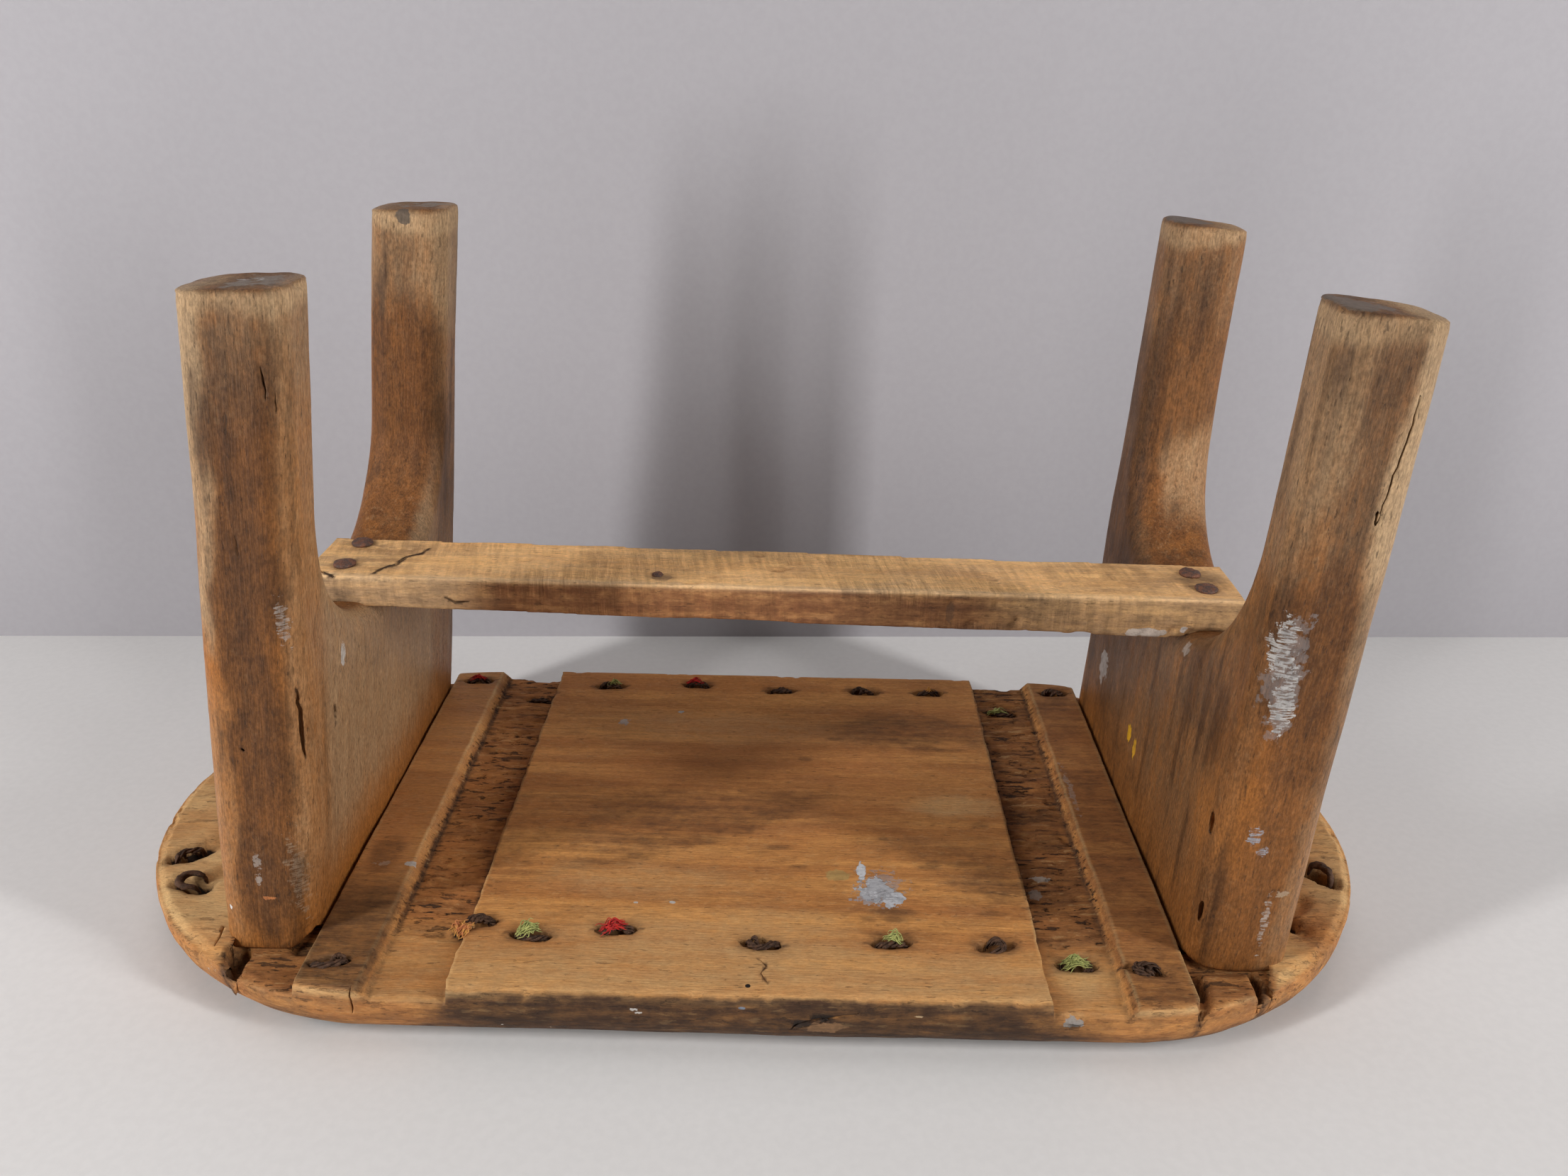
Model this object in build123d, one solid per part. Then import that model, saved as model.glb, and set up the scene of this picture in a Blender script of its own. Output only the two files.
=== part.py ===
from build123d import *
import os

os.makedirs("parts", exist_ok=True)

# A low wooden stool lying upside down, on its sitting face: two leg slabs stand in dovetail
# trenches across the underside of the seat, and a nailed bar ties them together.
# X runs along the seat, Y across it and Z up, with zero on the sitting face. Sizes are in mm.

# Seat board
seat_length = 536.5
seat_width = 250.0
seat_thickness = 30.0
sitting_round = 21.0
end_bevel = 2.5
field_bevel = 1.0

# Stepped underside: lengths are shares of the seat's length, and the steps are counted down
# from the raised field in its middle
field_share = 0.425
left_recess_share = 0.0606
right_recess_share = 0.0587
left_band_share = 0.0531
right_band_share = 0.0541
field_offset = 1.5
recess_drop = 5.5
band_drop = 1.0
end_drop = 2.5

# Dovetail trenches, open at the front and back rims
trench_drop = 7.0
trench_opening = 29.5
trench_flare = 2.0

# Tails of the slabs
tail_clearance = 0.25
tail_floor_gap = 0.5
tail_setback = 6.0
left_shoulder_lap = 2.0
right_shoulder_lap = 3.0

# Leg slabs, with heights counted from the raised field
leg_height = 254.5
left_base_thickness = 37.5
left_sole_thickness = 36.0
left_lean = 30.0
right_base_thickness = 41.5
right_sole_thickness = 35.0
right_lean = -6.5
slab_front_base = 98.0
slab_front_sole = 104.0
slab_back_base = 117.0
slab_back_sole = 111.0
leg_round = 15.0
sole_round = 1.5
rim_setback = 1.0

# Gap between the two legs of a slab
gap_front = 71.0
gap_back = 80.0
gap_front_round = 68.0
gap_back_round = 50.0
left_crotch_height = 106.5
right_crotch_height = 102.5

# Stretcher bar
stretcher_top_height = 119.5
stretcher_left_thickness = 14.0
stretcher_right_thickness = 18.0
stretcher_left_width = 41.0
stretcher_right_width = 36.0
stretcher_left_shift = 5.0
stretcher_right_shift = -3.5
stretcher_left_inset = 5.0
stretcher_right_inset = 14.0
notch_clearance = 0.2

# Forged nails
nail_head_diameter = 9.5
nail_head_thickness = 2.0
nail_head_rim = 0.8
nail_shank_diameter = 3.4
nail_tip_diameter = 1.2
nail_length = 44.0
nail_hole_clearance = 0.1
left_nail_inset = 14.2
right_front_nail_inset = 13.5
right_back_nail_inset = 15.8
left_front_nail_offset = -9.0
left_back_nail_offset = 14.0
right_front_nail_offset = -7.0
right_back_nail_offset = 8.5
pin_head_diameter = 5.0
pin_head_thickness = 1.0
pin_head_rim = 0.5
pin_shank_diameter = 2.2
pin_tip_diameter = 1.0
pin_length = 10.0
pin_place_share = 0.38
pin_offset = -8.0

# Lacing: slits through the board, and the thong loops and wool left in them
slit_length = 15.0
slit_width = 4.2
mouth_length = 19.0
mouth_width = 8.0
mouth_depth = 3.0
thong_diameter = 3.0
thong_bend = 3.2
thong_crest = 0.8
thong_end_height = 4.0
wool_diameter = 5.2
wool_length = 4.4
wool_clearance = 0.12

# Length that a cutter runs past the wood
overrun = 5.0

# Places of the slits: share along their stretch of the seat, share of half its width, turn in
# degrees, and wool. Front and back slits are counted from the middle of the bench between the
# trenches, and those at the ends from the outer edge of the trench to the tip of the seat.
front_stitch_shares = [
    (-0.928, -0.872, 6, None),
    (-0.630, -0.690, 8, "orange"),
    (-0.500, -0.744, -4, "green"),
    (-0.308, -0.710, 5, "red"),
    (0.023, -0.757, -6, None),
    (0.318, -0.742, 3, "green"),
    (0.556, -0.743, 12, None),
    (0.739, -0.776, -3, "green"),
    (0.882, -0.824, -14, None),
]
back_stitch_shares = [
    (-0.910, 0.900, 4, "red"),
    (-0.698, 0.795, -5, None),
    (-0.483, 0.862, 3, "green"),
    (-0.216, 0.890, -4, "red"),
    (0.050, 0.854, 5, None),
    (0.307, 0.858, -3, None),
    (0.510, 0.859, 4, "orange"),
    (0.737, 0.770, -6, "green"),
    (0.911, 0.900, 3, None),
]
left_stitch_shares = [
    (0.667, -0.346, 35, None),
    (0.490, -0.508, -20, None),
    (0.696, 0.096, 80, None),
    (0.560, 0.384, 62, None),
    (0.285, 0.632, 40, None),
]
right_stitch_shares = [
    (0.675, -0.318, -60, None),
    (0.701, 0.112, -84, None),
    (0.560, 0.384, -62, None),
    (0.264, 0.632, -40, None),
]
torn_slit_share = (0.196, -0.552, -35, None)

# Levels and lines that more than one piece follows
half_length = seat_length / 2
half_width = seat_width / 2
band_level = seat_thickness - band_drop
recess_level = seat_thickness - recess_drop
end_level = seat_thickness - end_drop
trench_level = seat_thickness - trench_drop
sole_level = seat_thickness + leg_height
field_left = field_offset - field_share * half_length
field_right = field_offset + field_share * half_length
band_left = field_left - left_recess_share * seat_length
band_right = field_right + right_recess_share * seat_length
trench_left = band_left - left_band_share * seat_length
trench_right = band_right + right_band_share * seat_length
bench_middle = (trench_left + trench_right) / 2
bench_half = (trench_right - trench_left) / 2
left_end_depth = half_length + trench_left - trench_opening
right_end_depth = half_length - trench_right - trench_opening
stretcher_top = seat_thickness + stretcher_top_height


def prism_along_y(points, start, end):
    """Solid between two Y values, with an outline given as X and Z pairs."""
    face = make_face(Polyline(*[(x, start, z) for x, z in points], close=True))
    return extrude(face, amount=end - start, dir=(0, 1, 0))


def seat_blank(height, bevel):
    """The whole round-ended board at one height, soft below and bevelled above."""
    blank = extrude(SlotOverall(seat_length, seat_width), amount=height)
    low_edges = blank.faces().sort_by(Axis.Z)[0].edges()
    blank = fillet(low_edges, sitting_round)
    return chamfer(blank.faces().sort_by(Axis.Z)[-1].edges(), bevel)


def seat_strip(start, end, height, bevel):
    """The stretch of the board between two X values."""
    corners = [(start, -overrun), (end, -overrun), (end, height + overrun), (start, height + overrun)]
    return seat_blank(height, bevel) & prism_along_y(corners, -seat_width, seat_width)


def level_at(x):
    """Height of the underside at one place along the seat."""
    if trench_left < x < band_left or band_right < x < trench_right:
        return band_level
    if field_left <= x <= field_right:
        return seat_thickness
    if band_left <= x <= band_right:
        return recess_level
    return end_level


def dovetail(inner, side, squeeze, floor, top, start, end):
    """Undercut prism for a trench, or for its tail when squeezed."""
    neck_low = inner + side * squeeze
    neck_high = inner + side * (trench_opening - squeeze)
    slope = trench_flare / (end_level - trench_level)
    spread = side * slope * (end_level - floor)
    points = [
        (neck_low, top),
        (neck_low, end_level),
        (neck_low - spread, floor),
        (neck_high + spread, floor),
        (neck_high, end_level),
        (neck_high, top),
    ]
    return prism_along_y(points, start, end)


def bench_stitch(shares):
    """X, Y, turn and wool of a slit between the trenches."""
    along, across, turn, wool = shares
    return bench_middle + along * bench_half, across * half_width, turn, wool


def left_stitch(shares):
    """X, Y, turn and wool of a slit in the left end."""
    along, across, turn, wool = shares
    return (1 - along) * left_end_depth - half_length, across * half_width, turn, wool


def right_stitch(shares):
    """X, Y, turn and wool of a slit in the right end."""
    along, across, turn, wool = shares
    return half_length - (1 - along) * right_end_depth, across * half_width, turn, wool


def slit_cutter(stitch):
    """Slit through the board with a wider worn mouth on the underside."""
    x, y, turn, wool = stitch
    level = level_at(x)
    slit = extrude(SlotOverall(slit_length, slit_width), amount=seat_thickness + overrun + overrun)
    mouth = extrude(SlotOverall(mouth_length, mouth_width), amount=mouth_depth + overrun)
    lift = Location((0, 0, level + overrun - mouth_depth))
    return Location((x, y, -overrun), (0, 0, turn)) * (slit + lift * mouth)


def make_seat_board(stitches):
    strips = [
        (-half_length - overrun, trench_left, end_level, end_bevel),
        (trench_left, band_left, band_level, end_bevel),
        (band_left, field_left, recess_level, field_bevel),
        (field_left, field_right, seat_thickness, field_bevel),
        (field_right, band_right, recess_level, field_bevel),
        (band_right, trench_right, band_level, end_bevel),
        (trench_right, half_length + overrun, end_level, end_bevel),
    ]
    board = Part() + [seat_strip(*strip) for strip in strips]
    top = seat_thickness + overrun
    for inner, side in ((trench_left, -1), (trench_right, 1)):
        board -= dovetail(inner, side, 0, trench_level, top, -seat_width, seat_width)
    return board - [slit_cutter(stitch) for stitch in stitches]


def slab_outline(crotch):
    """Side view of a slab as a face in the YZ plane: two legs over a solid base."""
    crotch_z = seat_thickness + crotch
    front_low = (-slab_front_base, end_level)
    front_high = (-slab_front_sole, sole_level)
    gap_front_high = (-gap_front, sole_level)
    gap_front_low = (-gap_front, crotch_z + gap_front_round)
    crotch_front = (gap_front_round - gap_front, crotch_z)
    crotch_back = (gap_back - gap_back_round, crotch_z)
    gap_back_low = (gap_back, crotch_z + gap_back_round)
    gap_back_high = (gap_back, sole_level)
    back_high = (slab_back_sole, sole_level)
    back_low = (slab_back_base, end_level)
    edges = [
        Line(front_low, front_high),
        Line(front_high, gap_front_high),
        Line(gap_front_high, gap_front_low),
        TangentArc(gap_front_low, crotch_front, tangent=(0, -1)),
        Line(crotch_front, crotch_back),
        TangentArc(crotch_back, gap_back_low, tangent=(1, 0)),
        Line(gap_back_low, gap_back_high),
        Line(gap_back_high, back_high),
        Line(back_high, back_low),
        Line(back_low, front_low),
    ]
    return Plane.YZ * make_face(edges)


def slab_section(inner, side, lap, base_thickness, sole_thickness, lean):
    """Corners of a slab seen from the front, as X and Z pairs."""
    inner_base = inner - side * lap
    inner_sole = inner_base - side * lean
    return [
        (inner_base, end_level),
        (inner_base + side * base_thickness, end_level),
        (inner_sole + side * sole_thickness, sole_level),
        (inner_sole, sole_level),
    ]


def make_slab(inner, side, section, crotch):
    raw = extrude(slab_outline(crotch), amount=side * half_length)
    body = raw & prism_along_y(section, -seat_width, seat_width)
    low = end_level + leg_round
    high = sole_level - leg_round
    faces = [face for face in body.faces() if abs(face.normal_at().Y) < abs(face.normal_at().X)]
    edges = [edge for face in faces for edge in face.edges() if low < edge.center().Z < high]
    body = fillet(edges, leg_round)
    body = fillet(body.faces().filter_by(Axis.Z).group_by(Axis.Z)[-1].edges(), sole_round)
    lap = prism_along_y(
        [
            (inner - side * half_length, end_level - overrun),
            (inner, end_level - overrun),
            (inner, band_level),
            (inner - side * half_length, band_level),
        ],
        -seat_width,
        seat_width,
    )
    floor = trench_level + tail_floor_gap
    front = tail_setback - slab_front_base
    back = slab_back_base - tail_setback
    tail = dovetail(inner, side, tail_clearance, floor, band_level, front, back)
    flush = SlotOverall(seat_length - rim_setback - rim_setback, seat_width - rim_setback - rim_setback)
    return (body - lap + tail) & extrude(flush, amount=sole_level)


def outer_face(section, height):
    """X of a slab's outer face at one height over the sitting face."""
    low_x, low_z = section[1]
    high_x, high_z = section[2]
    return low_x + (high_x - low_x) * (height - low_z) / (high_z - low_z)


def stretcher_body(start, end, side_clearance, lift):
    """Tapering bar between two X values; the notches use it with clearance and lift."""
    left_side = stretcher_left_width / 2 + side_clearance
    right_side = stretcher_right_width / 2 + side_clearance
    plan = [
        (start, stretcher_left_shift - left_side, 0),
        (end, stretcher_right_shift - right_side, 0),
        (end, stretcher_right_shift + right_side, 0),
        (start, stretcher_left_shift + left_side, 0),
    ]
    side_view = [
        (start, stretcher_top - stretcher_left_thickness),
        (end, stretcher_top - stretcher_right_thickness),
        (end, stretcher_top + lift),
        (start, stretcher_top + lift),
    ]
    block = extrude(make_face(Polyline(*plan, close=True)), amount=sole_level)
    return block & prism_along_y(side_view, -seat_width, seat_width)


def nail(head_diameter, head_thickness, rim, shank_diameter, tip_diameter, length):
    """Round-headed nail with a tapering shank; its head rests on zero height."""
    head_radius = head_diameter / 2
    tip = (tip_diameter / 2, -length)
    neck = (shank_diameter / 2, 0)
    rim_low = (head_radius, 0)
    rim_high = (head_radius, rim)
    crest = (0, head_thickness)
    profile = [
        Polyline((0, -length), tip, neck, rim_low, rim_high),
        TangentArc(crest, rim_high, tangent=(1, 0)),
        Line(crest, (0, -length)),
    ]
    return revolve(Plane.XZ * make_face(profile), axis=Axis.Z)


def nail_hole(x, y, diameter, length):
    """Straight hole for a nail driven from the top of the bar."""
    radius = diameter / 2 + nail_hole_clearance
    depth = length + overrun
    hole = Cylinder(radius, depth + overrun, align=(Align.CENTER, Align.CENTER, Align.MIN))
    return Location((x, y, stretcher_top - length)) * hole


def make_thong(stitch):
    """Loop of thong that comes up one end of its slit and goes down the other."""
    x, y, turn, wool = stitch
    crest = level_at(x) + thong_crest
    arm = (slit_length - slit_width) / 2
    corners = [(-arm, 0, thong_end_height), (-arm, 0, crest), (arm, 0, crest), (arm, 0, thong_end_height)]
    path = FilletPolyline(*corners, radius=thong_bend)
    start = Plane(origin=corners[0], z_dir=(0, 0, 1))
    loop = sweep(start * Circle(thong_diameter / 2), path=path)
    return Location((x, y, 0), (0, 0, turn)) * loop


def make_wool(stitch):
    """Yarn wound round the crest of a thong loop."""
    x, y, turn, wool = stitch
    crest = level_at(x) + thong_crest
    bore = thong_diameter / 2 + wool_clearance
    band = Cylinder(wool_diameter / 2, wool_length) - Cylinder(bore, wool_length)
    return Location((x, y, crest), (0, 0, turn)) * (Rotation(0, 90, 0) * band)


left_section = slab_section(
    trench_left,
    -1,
    left_shoulder_lap,
    left_base_thickness,
    left_sole_thickness,
    left_lean,
)
right_section = slab_section(
    trench_right,
    1,
    right_shoulder_lap,
    right_base_thickness,
    right_sole_thickness,
    right_lean,
)
stretcher_left = outer_face(left_section, stretcher_top) + stretcher_left_inset
stretcher_right = outer_face(right_section, stretcher_top) - stretcher_right_inset

stitch_rows = {
    "front": [bench_stitch(shares) for shares in front_stitch_shares],
    "back": [bench_stitch(shares) for shares in back_stitch_shares],
    "left": [left_stitch(shares) for shares in left_stitch_shares],
    "right": [right_stitch(shares) for shares in right_stitch_shares],
}
all_stitches = [stitch for row in stitch_rows.values() for stitch in row]
seat_board = make_seat_board(all_stitches + [right_stitch(torn_slit_share)])

bar = stretcher_body(stretcher_left, stretcher_right, 0, 0)
notch = stretcher_body(stretcher_left, stretcher_right, notch_clearance, sole_level)
left_slab = make_slab(trench_left, -1, left_section, left_crotch_height) - notch
right_slab = make_slab(trench_right, 1, right_section, right_crotch_height) - notch

left_nail_x = stretcher_left + left_nail_inset
right_front_nail_x = stretcher_right - right_front_nail_inset
right_back_nail_x = stretcher_right - right_back_nail_inset
nail_places = {
    "left_front_nail": (left_nail_x, stretcher_left_shift + left_front_nail_offset),
    "left_back_nail": (left_nail_x, stretcher_left_shift + left_back_nail_offset),
    "right_front_nail": (right_front_nail_x, stretcher_right_shift + right_front_nail_offset),
    "right_back_nail": (right_back_nail_x, stretcher_right_shift + right_back_nail_offset),
}
pin_x = stretcher_left + pin_place_share * (stretcher_right - stretcher_left)
holes = [nail_hole(x, y, nail_shank_diameter, nail_length) for x, y in nail_places.values()]
pin_hole = nail_hole(pin_x, pin_offset, pin_shank_diameter, pin_length)
bar -= holes + [pin_hole]
left_slab -= holes[:2]
right_slab -= holes[2:]

export_step(seat_board, "parts/seat_board.step")
export_step(left_slab, "parts/left_leg_slab.step")
export_step(right_slab, "parts/right_leg_slab.step")
export_step(bar, "parts/stretcher.step")

for name, (x, y) in nail_places.items():
    driven = nail(
        nail_head_diameter,
        nail_head_thickness,
        nail_head_rim,
        nail_shank_diameter,
        nail_tip_diameter,
        nail_length,
    )
    export_step(Location((x, y, stretcher_top)) * driven, f"parts/{name}.step")

pin = nail(
    pin_head_diameter,
    pin_head_thickness,
    pin_head_rim,
    pin_shank_diameter,
    pin_tip_diameter,
    pin_length,
)
export_step(Location((pin_x, pin_offset, stretcher_top)) * pin, "parts/stretcher_middle_nail.step")

for side_name, row in stitch_rows.items():
    for number, stitch in enumerate(row, start=1):
        export_step(make_thong(stitch), f"parts/{side_name}_thong_{number}.step")
        if stitch[3]:
            export_step(make_wool(stitch), f"parts/{side_name}_{stitch[3]}_wool_{number}.step")
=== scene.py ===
import bpy
import math
import numpy as np
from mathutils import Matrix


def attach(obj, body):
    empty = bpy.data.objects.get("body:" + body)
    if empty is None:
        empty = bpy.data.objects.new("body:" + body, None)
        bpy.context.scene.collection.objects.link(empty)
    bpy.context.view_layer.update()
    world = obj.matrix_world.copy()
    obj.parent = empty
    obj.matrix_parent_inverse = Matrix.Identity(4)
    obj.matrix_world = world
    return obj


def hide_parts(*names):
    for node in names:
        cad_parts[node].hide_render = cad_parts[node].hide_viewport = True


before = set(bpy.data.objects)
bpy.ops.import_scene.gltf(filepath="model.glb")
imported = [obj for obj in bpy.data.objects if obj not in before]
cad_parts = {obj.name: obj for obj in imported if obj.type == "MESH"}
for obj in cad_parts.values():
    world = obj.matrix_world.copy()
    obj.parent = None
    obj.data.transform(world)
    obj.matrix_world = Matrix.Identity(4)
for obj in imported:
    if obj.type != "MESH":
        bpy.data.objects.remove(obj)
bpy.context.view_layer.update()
mm = 0.001
print("frame loaded")


# Helpers. Shaping is done in millimetres, in the frame's own axes.

def startClean():
    if bpy.context.mode != "OBJECT":
        bpy.ops.object.mode_set(mode="OBJECT")
    bpy.ops.object.select_all(action="DESELECT")


def only(obj):
    startClean()
    obj.select_set(True)
    bpy.context.view_layer.objects.active = obj
    return obj


def editMode(obj, pick=None):
    only(obj)
    bpy.ops.object.mode_set(mode="EDIT")
    if pick:
        bpy.ops.mesh.select_all(action=pick)


def objectMode():
    bpy.ops.object.mode_set(mode="OBJECT")


def faceOutward(obj):
    editMode(obj, "SELECT")
    bpy.ops.mesh.normals_make_consistent(inside=False)
    objectMode()


def readFlat(items, key):
    flat = np.zeros(len(items) * 3)
    items.foreach_get(key, flat)
    return flat.reshape(-1, 3)


def readPoints(obj):
    return readFlat(obj.data.vertices, "co") / mm


def writePoints(obj, points):
    obj.data.vertices.foreach_set("co", (points * mm).ravel())
    obj.data.update()


def readNormals(obj):
    return readFlat(obj.data.vertex_normals, "vector")


def applyModifier(obj, kind, **values):
    only(obj)
    mod = obj.modifiers.new(kind.lower(), kind)
    for key, value in values.items():
        setattr(mod, key, value)
    bpy.ops.object.modifier_apply(modifier=mod.name)


def joinAll(objs, name):
    startClean()
    for obj in objs:
        obj.select_set(True)
    bpy.context.view_layer.objects.active = objs[0]
    bpy.ops.object.join()
    objs[0].name = name
    return objs[0]


def cutAway(obj, cutters):
    cutter = joinAll(cutters, "cutter") if len(cutters) > 1 else cutters[0]
    applyModifier(obj, "BOOLEAN", operation="DIFFERENCE", object=cutter, solver="MANIFOLD")
    bpy.data.objects.remove(cutter)


def crackCutter(path, inward, wide, deep, seed):
    bpy.ops.mesh.primitive_uv_sphere_add(segments=8, ring_count=26, radius=1)
    cutter = bpy.context.object
    c = readPoints(cutter) * mm
    path, inward = np.array(path, float), np.array(inward, float)
    inward /= np.linalg.norm(inward)
    t = (1 - c[:, 2]) / 2 * (len(path) - 1)
    k = np.clip(t.astype(int), 0, len(path) - 2)
    at = path[k] + (path[k + 1] - path[k]) * (t - k)[:, None]
    along = path[-1] - path[0]
    across = np.cross(along / np.linalg.norm(along), inward)
    jag = sway(at, (4, 4, 4), seed, 2) * 1.6
    ragged = 0.6 + 0.8 * noise(at, (3, 3, 3), seed + 5, 2)
    c = at + across * (c[:, :1] * wide * ragged[:, None] + jag[:, None]) + inward * (c[:, 1:2] * deep)
    writePoints(cutter, c)
    faceOutward(cutter)
    return cutter


def crackShade(p, cracks):  # the dark along and inside each crack
    shade = np.zeros(len(p))
    ragged = 0.9 * sway(p, (3, 3, 3), 7)
    for path, inward, wide, deep in cracks:
        for start, end in zip(path, path[1:]):
            d = segmentDistance(p, start, end) + ragged
            shade = np.maximum(shade, 0.95 * fade(0.1, 0.5, d - min(wide, 0.7) * 0.9))
    return shade


def nodeOf(name):  # frontThong1 stands for the node front_thong_1
    return "".join("_" + c.lower() if c.isupper() or c.isdigit() else c for c in name)


def finishPiece(obj, name, slot, *nodes):
    obj.name = name
    obj.data.name = name
    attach(obj, "root")
    if nodes:
        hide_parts(*nodes)
    return obj


def smooth(low, high, value):
    t = np.clip((value - low) / (high - low), 0, 1)
    return t * t * (3 - 2 * t)


def fade(low, high, value):
    return 1 - smooth(low, high, value)


def cellNoise(points, size, seed):  # smooth value noise from 0 to 1, with cells of a size in mm
    q = points / np.array(size, float)
    cell = np.floor(q).astype(np.int64)
    part = q - cell
    part = part * part * (3 - 2 * part)
    total = np.zeros(len(points))
    for corner in range(8):
        step = np.array([corner & 1, corner >> 1 & 1, corner >> 2 & 1])
        c = cell + step
        h = (c[:, 0] * 73856093) ^ (c[:, 1] * 19349663) ^ (c[:, 2] * 83492791) ^ (seed * 2654435)
        h = ((h ^ (h >> 13)) * 1274126177) & 0xFFFFFFFF
        h = ((h ^ (h >> 15)) * 2246822519) & 0xFFFFFFFF
        total += np.prod(np.where(step == 1, part, 1 - part), axis=1) * ((h >> 8) & 0xFFFF) / 65535
    return total


def noise(points, size, seed, layers=3):
    size = np.array(size, float)
    total, weight, whole = 0, 1.0, 0
    for k in range(layers):
        total = total + weight * cellNoise(points, size / 2**k, seed + 17 * k)
        whole += weight
        weight *= 0.5
    return total / whole


def sway(points, size, seed, layers=3):  # the same noise from -0.5 to 0.5
    return noise(points, size, seed, layers) - 0.5


def within(value, *spans):
    return np.any([(value > low) & (value < high) for low, high in spans], axis=0)


def atLeast(tone, value):
    np.maximum(tone, value, out=tone)


def segmentDistance(points, start, end):
    a, b = np.array(start, float), np.array(end, float)
    t = np.clip(((points - a) @ (b - a)) / ((b - a) @ (b - a)), 0, 1)
    return np.linalg.norm(points - a - t[:, None] * (b - a), axis=1)


def paintTorn(obj, values):
    layer = obj.data.attributes.new("torn", "FLOAT", "POINT")
    layer.data.foreach_set("value", np.clip(values, 0, 1).astype(np.float32))


def paintTones(obj, marks, seed, tones):  # red dark, green pale, blue warm, alpha polish
    p = readPoints(obj)
    tones = tones.copy()
    wobble = sway(p, (16, 16, 16), seed, 4)
    for tone, column in zip(("dark", "pale", "warm", "polish"), tones.T):
        for centre, radii, strength in marks.get(tone, []):
            far = np.linalg.norm((p - np.array(centre, float)) / np.array(radii, float), axis=1)
            amount = strength * fade(0.35, 1.0, far + 0.8 * wobble)
            column[:] = 1 - (1 - column) * (1 - amount)
    tones = np.clip(tones, 0, 1)
    layer = obj.data.attributes.new("tones", "FLOAT_COLOR", "POINT")
    layer.data.foreach_set("color", tones.astype(np.float32).ravel())


# Shader nodes

def put(tree, kind, inputs=None, **props):
    made = tree.nodes.new("ShaderNode" + kind)
    for key, value in props.items():
        setattr(made, key, value)
    for key, value in (inputs or {}).items():
        target = made.inputs[key]
        if isinstance(value, bpy.types.NodeSocket):
            tree.links.new(value, target)
        else:
            target.default_value = value
    return made


def calc(tree, operation, a, b=0.0, clamp=False):
    return put(tree, "Math", {0: a, 1: b}, operation=operation, use_clamp=clamp).outputs[0]


def plus(tree, a, b, clamp=False):
    return calc(tree, "ADD", a, b, clamp)


def minus(tree, a, b):
    return calc(tree, "SUBTRACT", a, b)


def times(tree, a, b):
    return calc(tree, "MULTIPLY", a, b)


def withVector(tree, operation, a, b):
    return put(tree, "VectorMath", {0: a, 1: b}, operation=operation).outputs[0]


def scaled(tree, vector, amount):
    return put(tree, "VectorMath", {0: vector, "Scale": amount}, operation="SCALE").outputs[0]


def span(tree, value, low, high, outLow=0.0, outHigh=1.0):
    inputs = {"Value": value, "From Min": low, "From Max": high, "To Min": outLow, "To Max": outHigh}
    return put(tree, "MapRange", inputs, interpolation_type="SMOOTHSTEP").outputs[0]


def mixColour(tree, factor, a, b, blend="MIX"):
    made = put(tree, "Mix", {0: factor}, data_type="RGBA", blend_type=blend)
    for socket, value in ((made.inputs[6], a), (made.inputs[7], b)):
        if isinstance(value, bpy.types.NodeSocket):
            tree.links.new(value, socket)
        else:
            socket.default_value = (*value, 1.0)
    return made.outputs[2]


def darken(tree, colour, share):
    grey = put(tree, "CombineColor", {0: share, 1: share, 2: share}).outputs[0]
    return mixColour(tree, 1.0, colour, grey, "MULTIPLY")


def startMaterial(name):
    mat = bpy.data.materials.new(name)
    mat.use_nodes = True
    mat.node_tree.nodes.clear()
    return mat, mat.node_tree


def surface(tree, colour, rough, relief, strength, depth, more):  # depth of the relief in mm
    bump = put(tree, "Bump", {"Strength": strength, "Distance": mm * depth, "Height": relief})
    inputs = {"Base Color": colour, "Roughness": rough, "Normal": bump.outputs[0], **more}
    return put(tree, "BsdfPrincipled", inputs).outputs[0]


def finishMaterial(mat, shader):
    put(mat.node_tree, "OutputMaterial", {0: shader})
    return mat


def stretch(tree, vector, size):  # divides a vector in mm by a cell size
    return withVector(tree, "MULTIPLY", vector, tuple(1.0 / s for s in size))


def inMillimetres(tree):
    return stretch(tree, put(tree, "TexCoord").outputs["Object"], (mm, mm, mm))


def cloud(tree, vector, size, detail=3.0, rough=0.55):
    inputs = {"Vector": stretch(tree, vector, size), "Scale": 1.0, "Detail": detail, "Roughness": rough}
    return put(tree, "TexNoise", inputs).outputs[0]


def spotMask(tree, place, spot):
    off = withVector(tree, "SUBTRACT", place, spot["at"])
    far = put(tree, "VectorMath", {0: stretch(tree, off, spot["size"])}, operation="LENGTH").outputs["Value"]
    bumpy = minus(tree, cloud(tree, place, (spot["cell"],) * 3, 4.0, 0.65), 0.5)
    return span(tree, plus(tree, far, times(tree, bumpy, spot["ragged"])), 0.86, 1.0, 1.0, 0.0)


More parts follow.
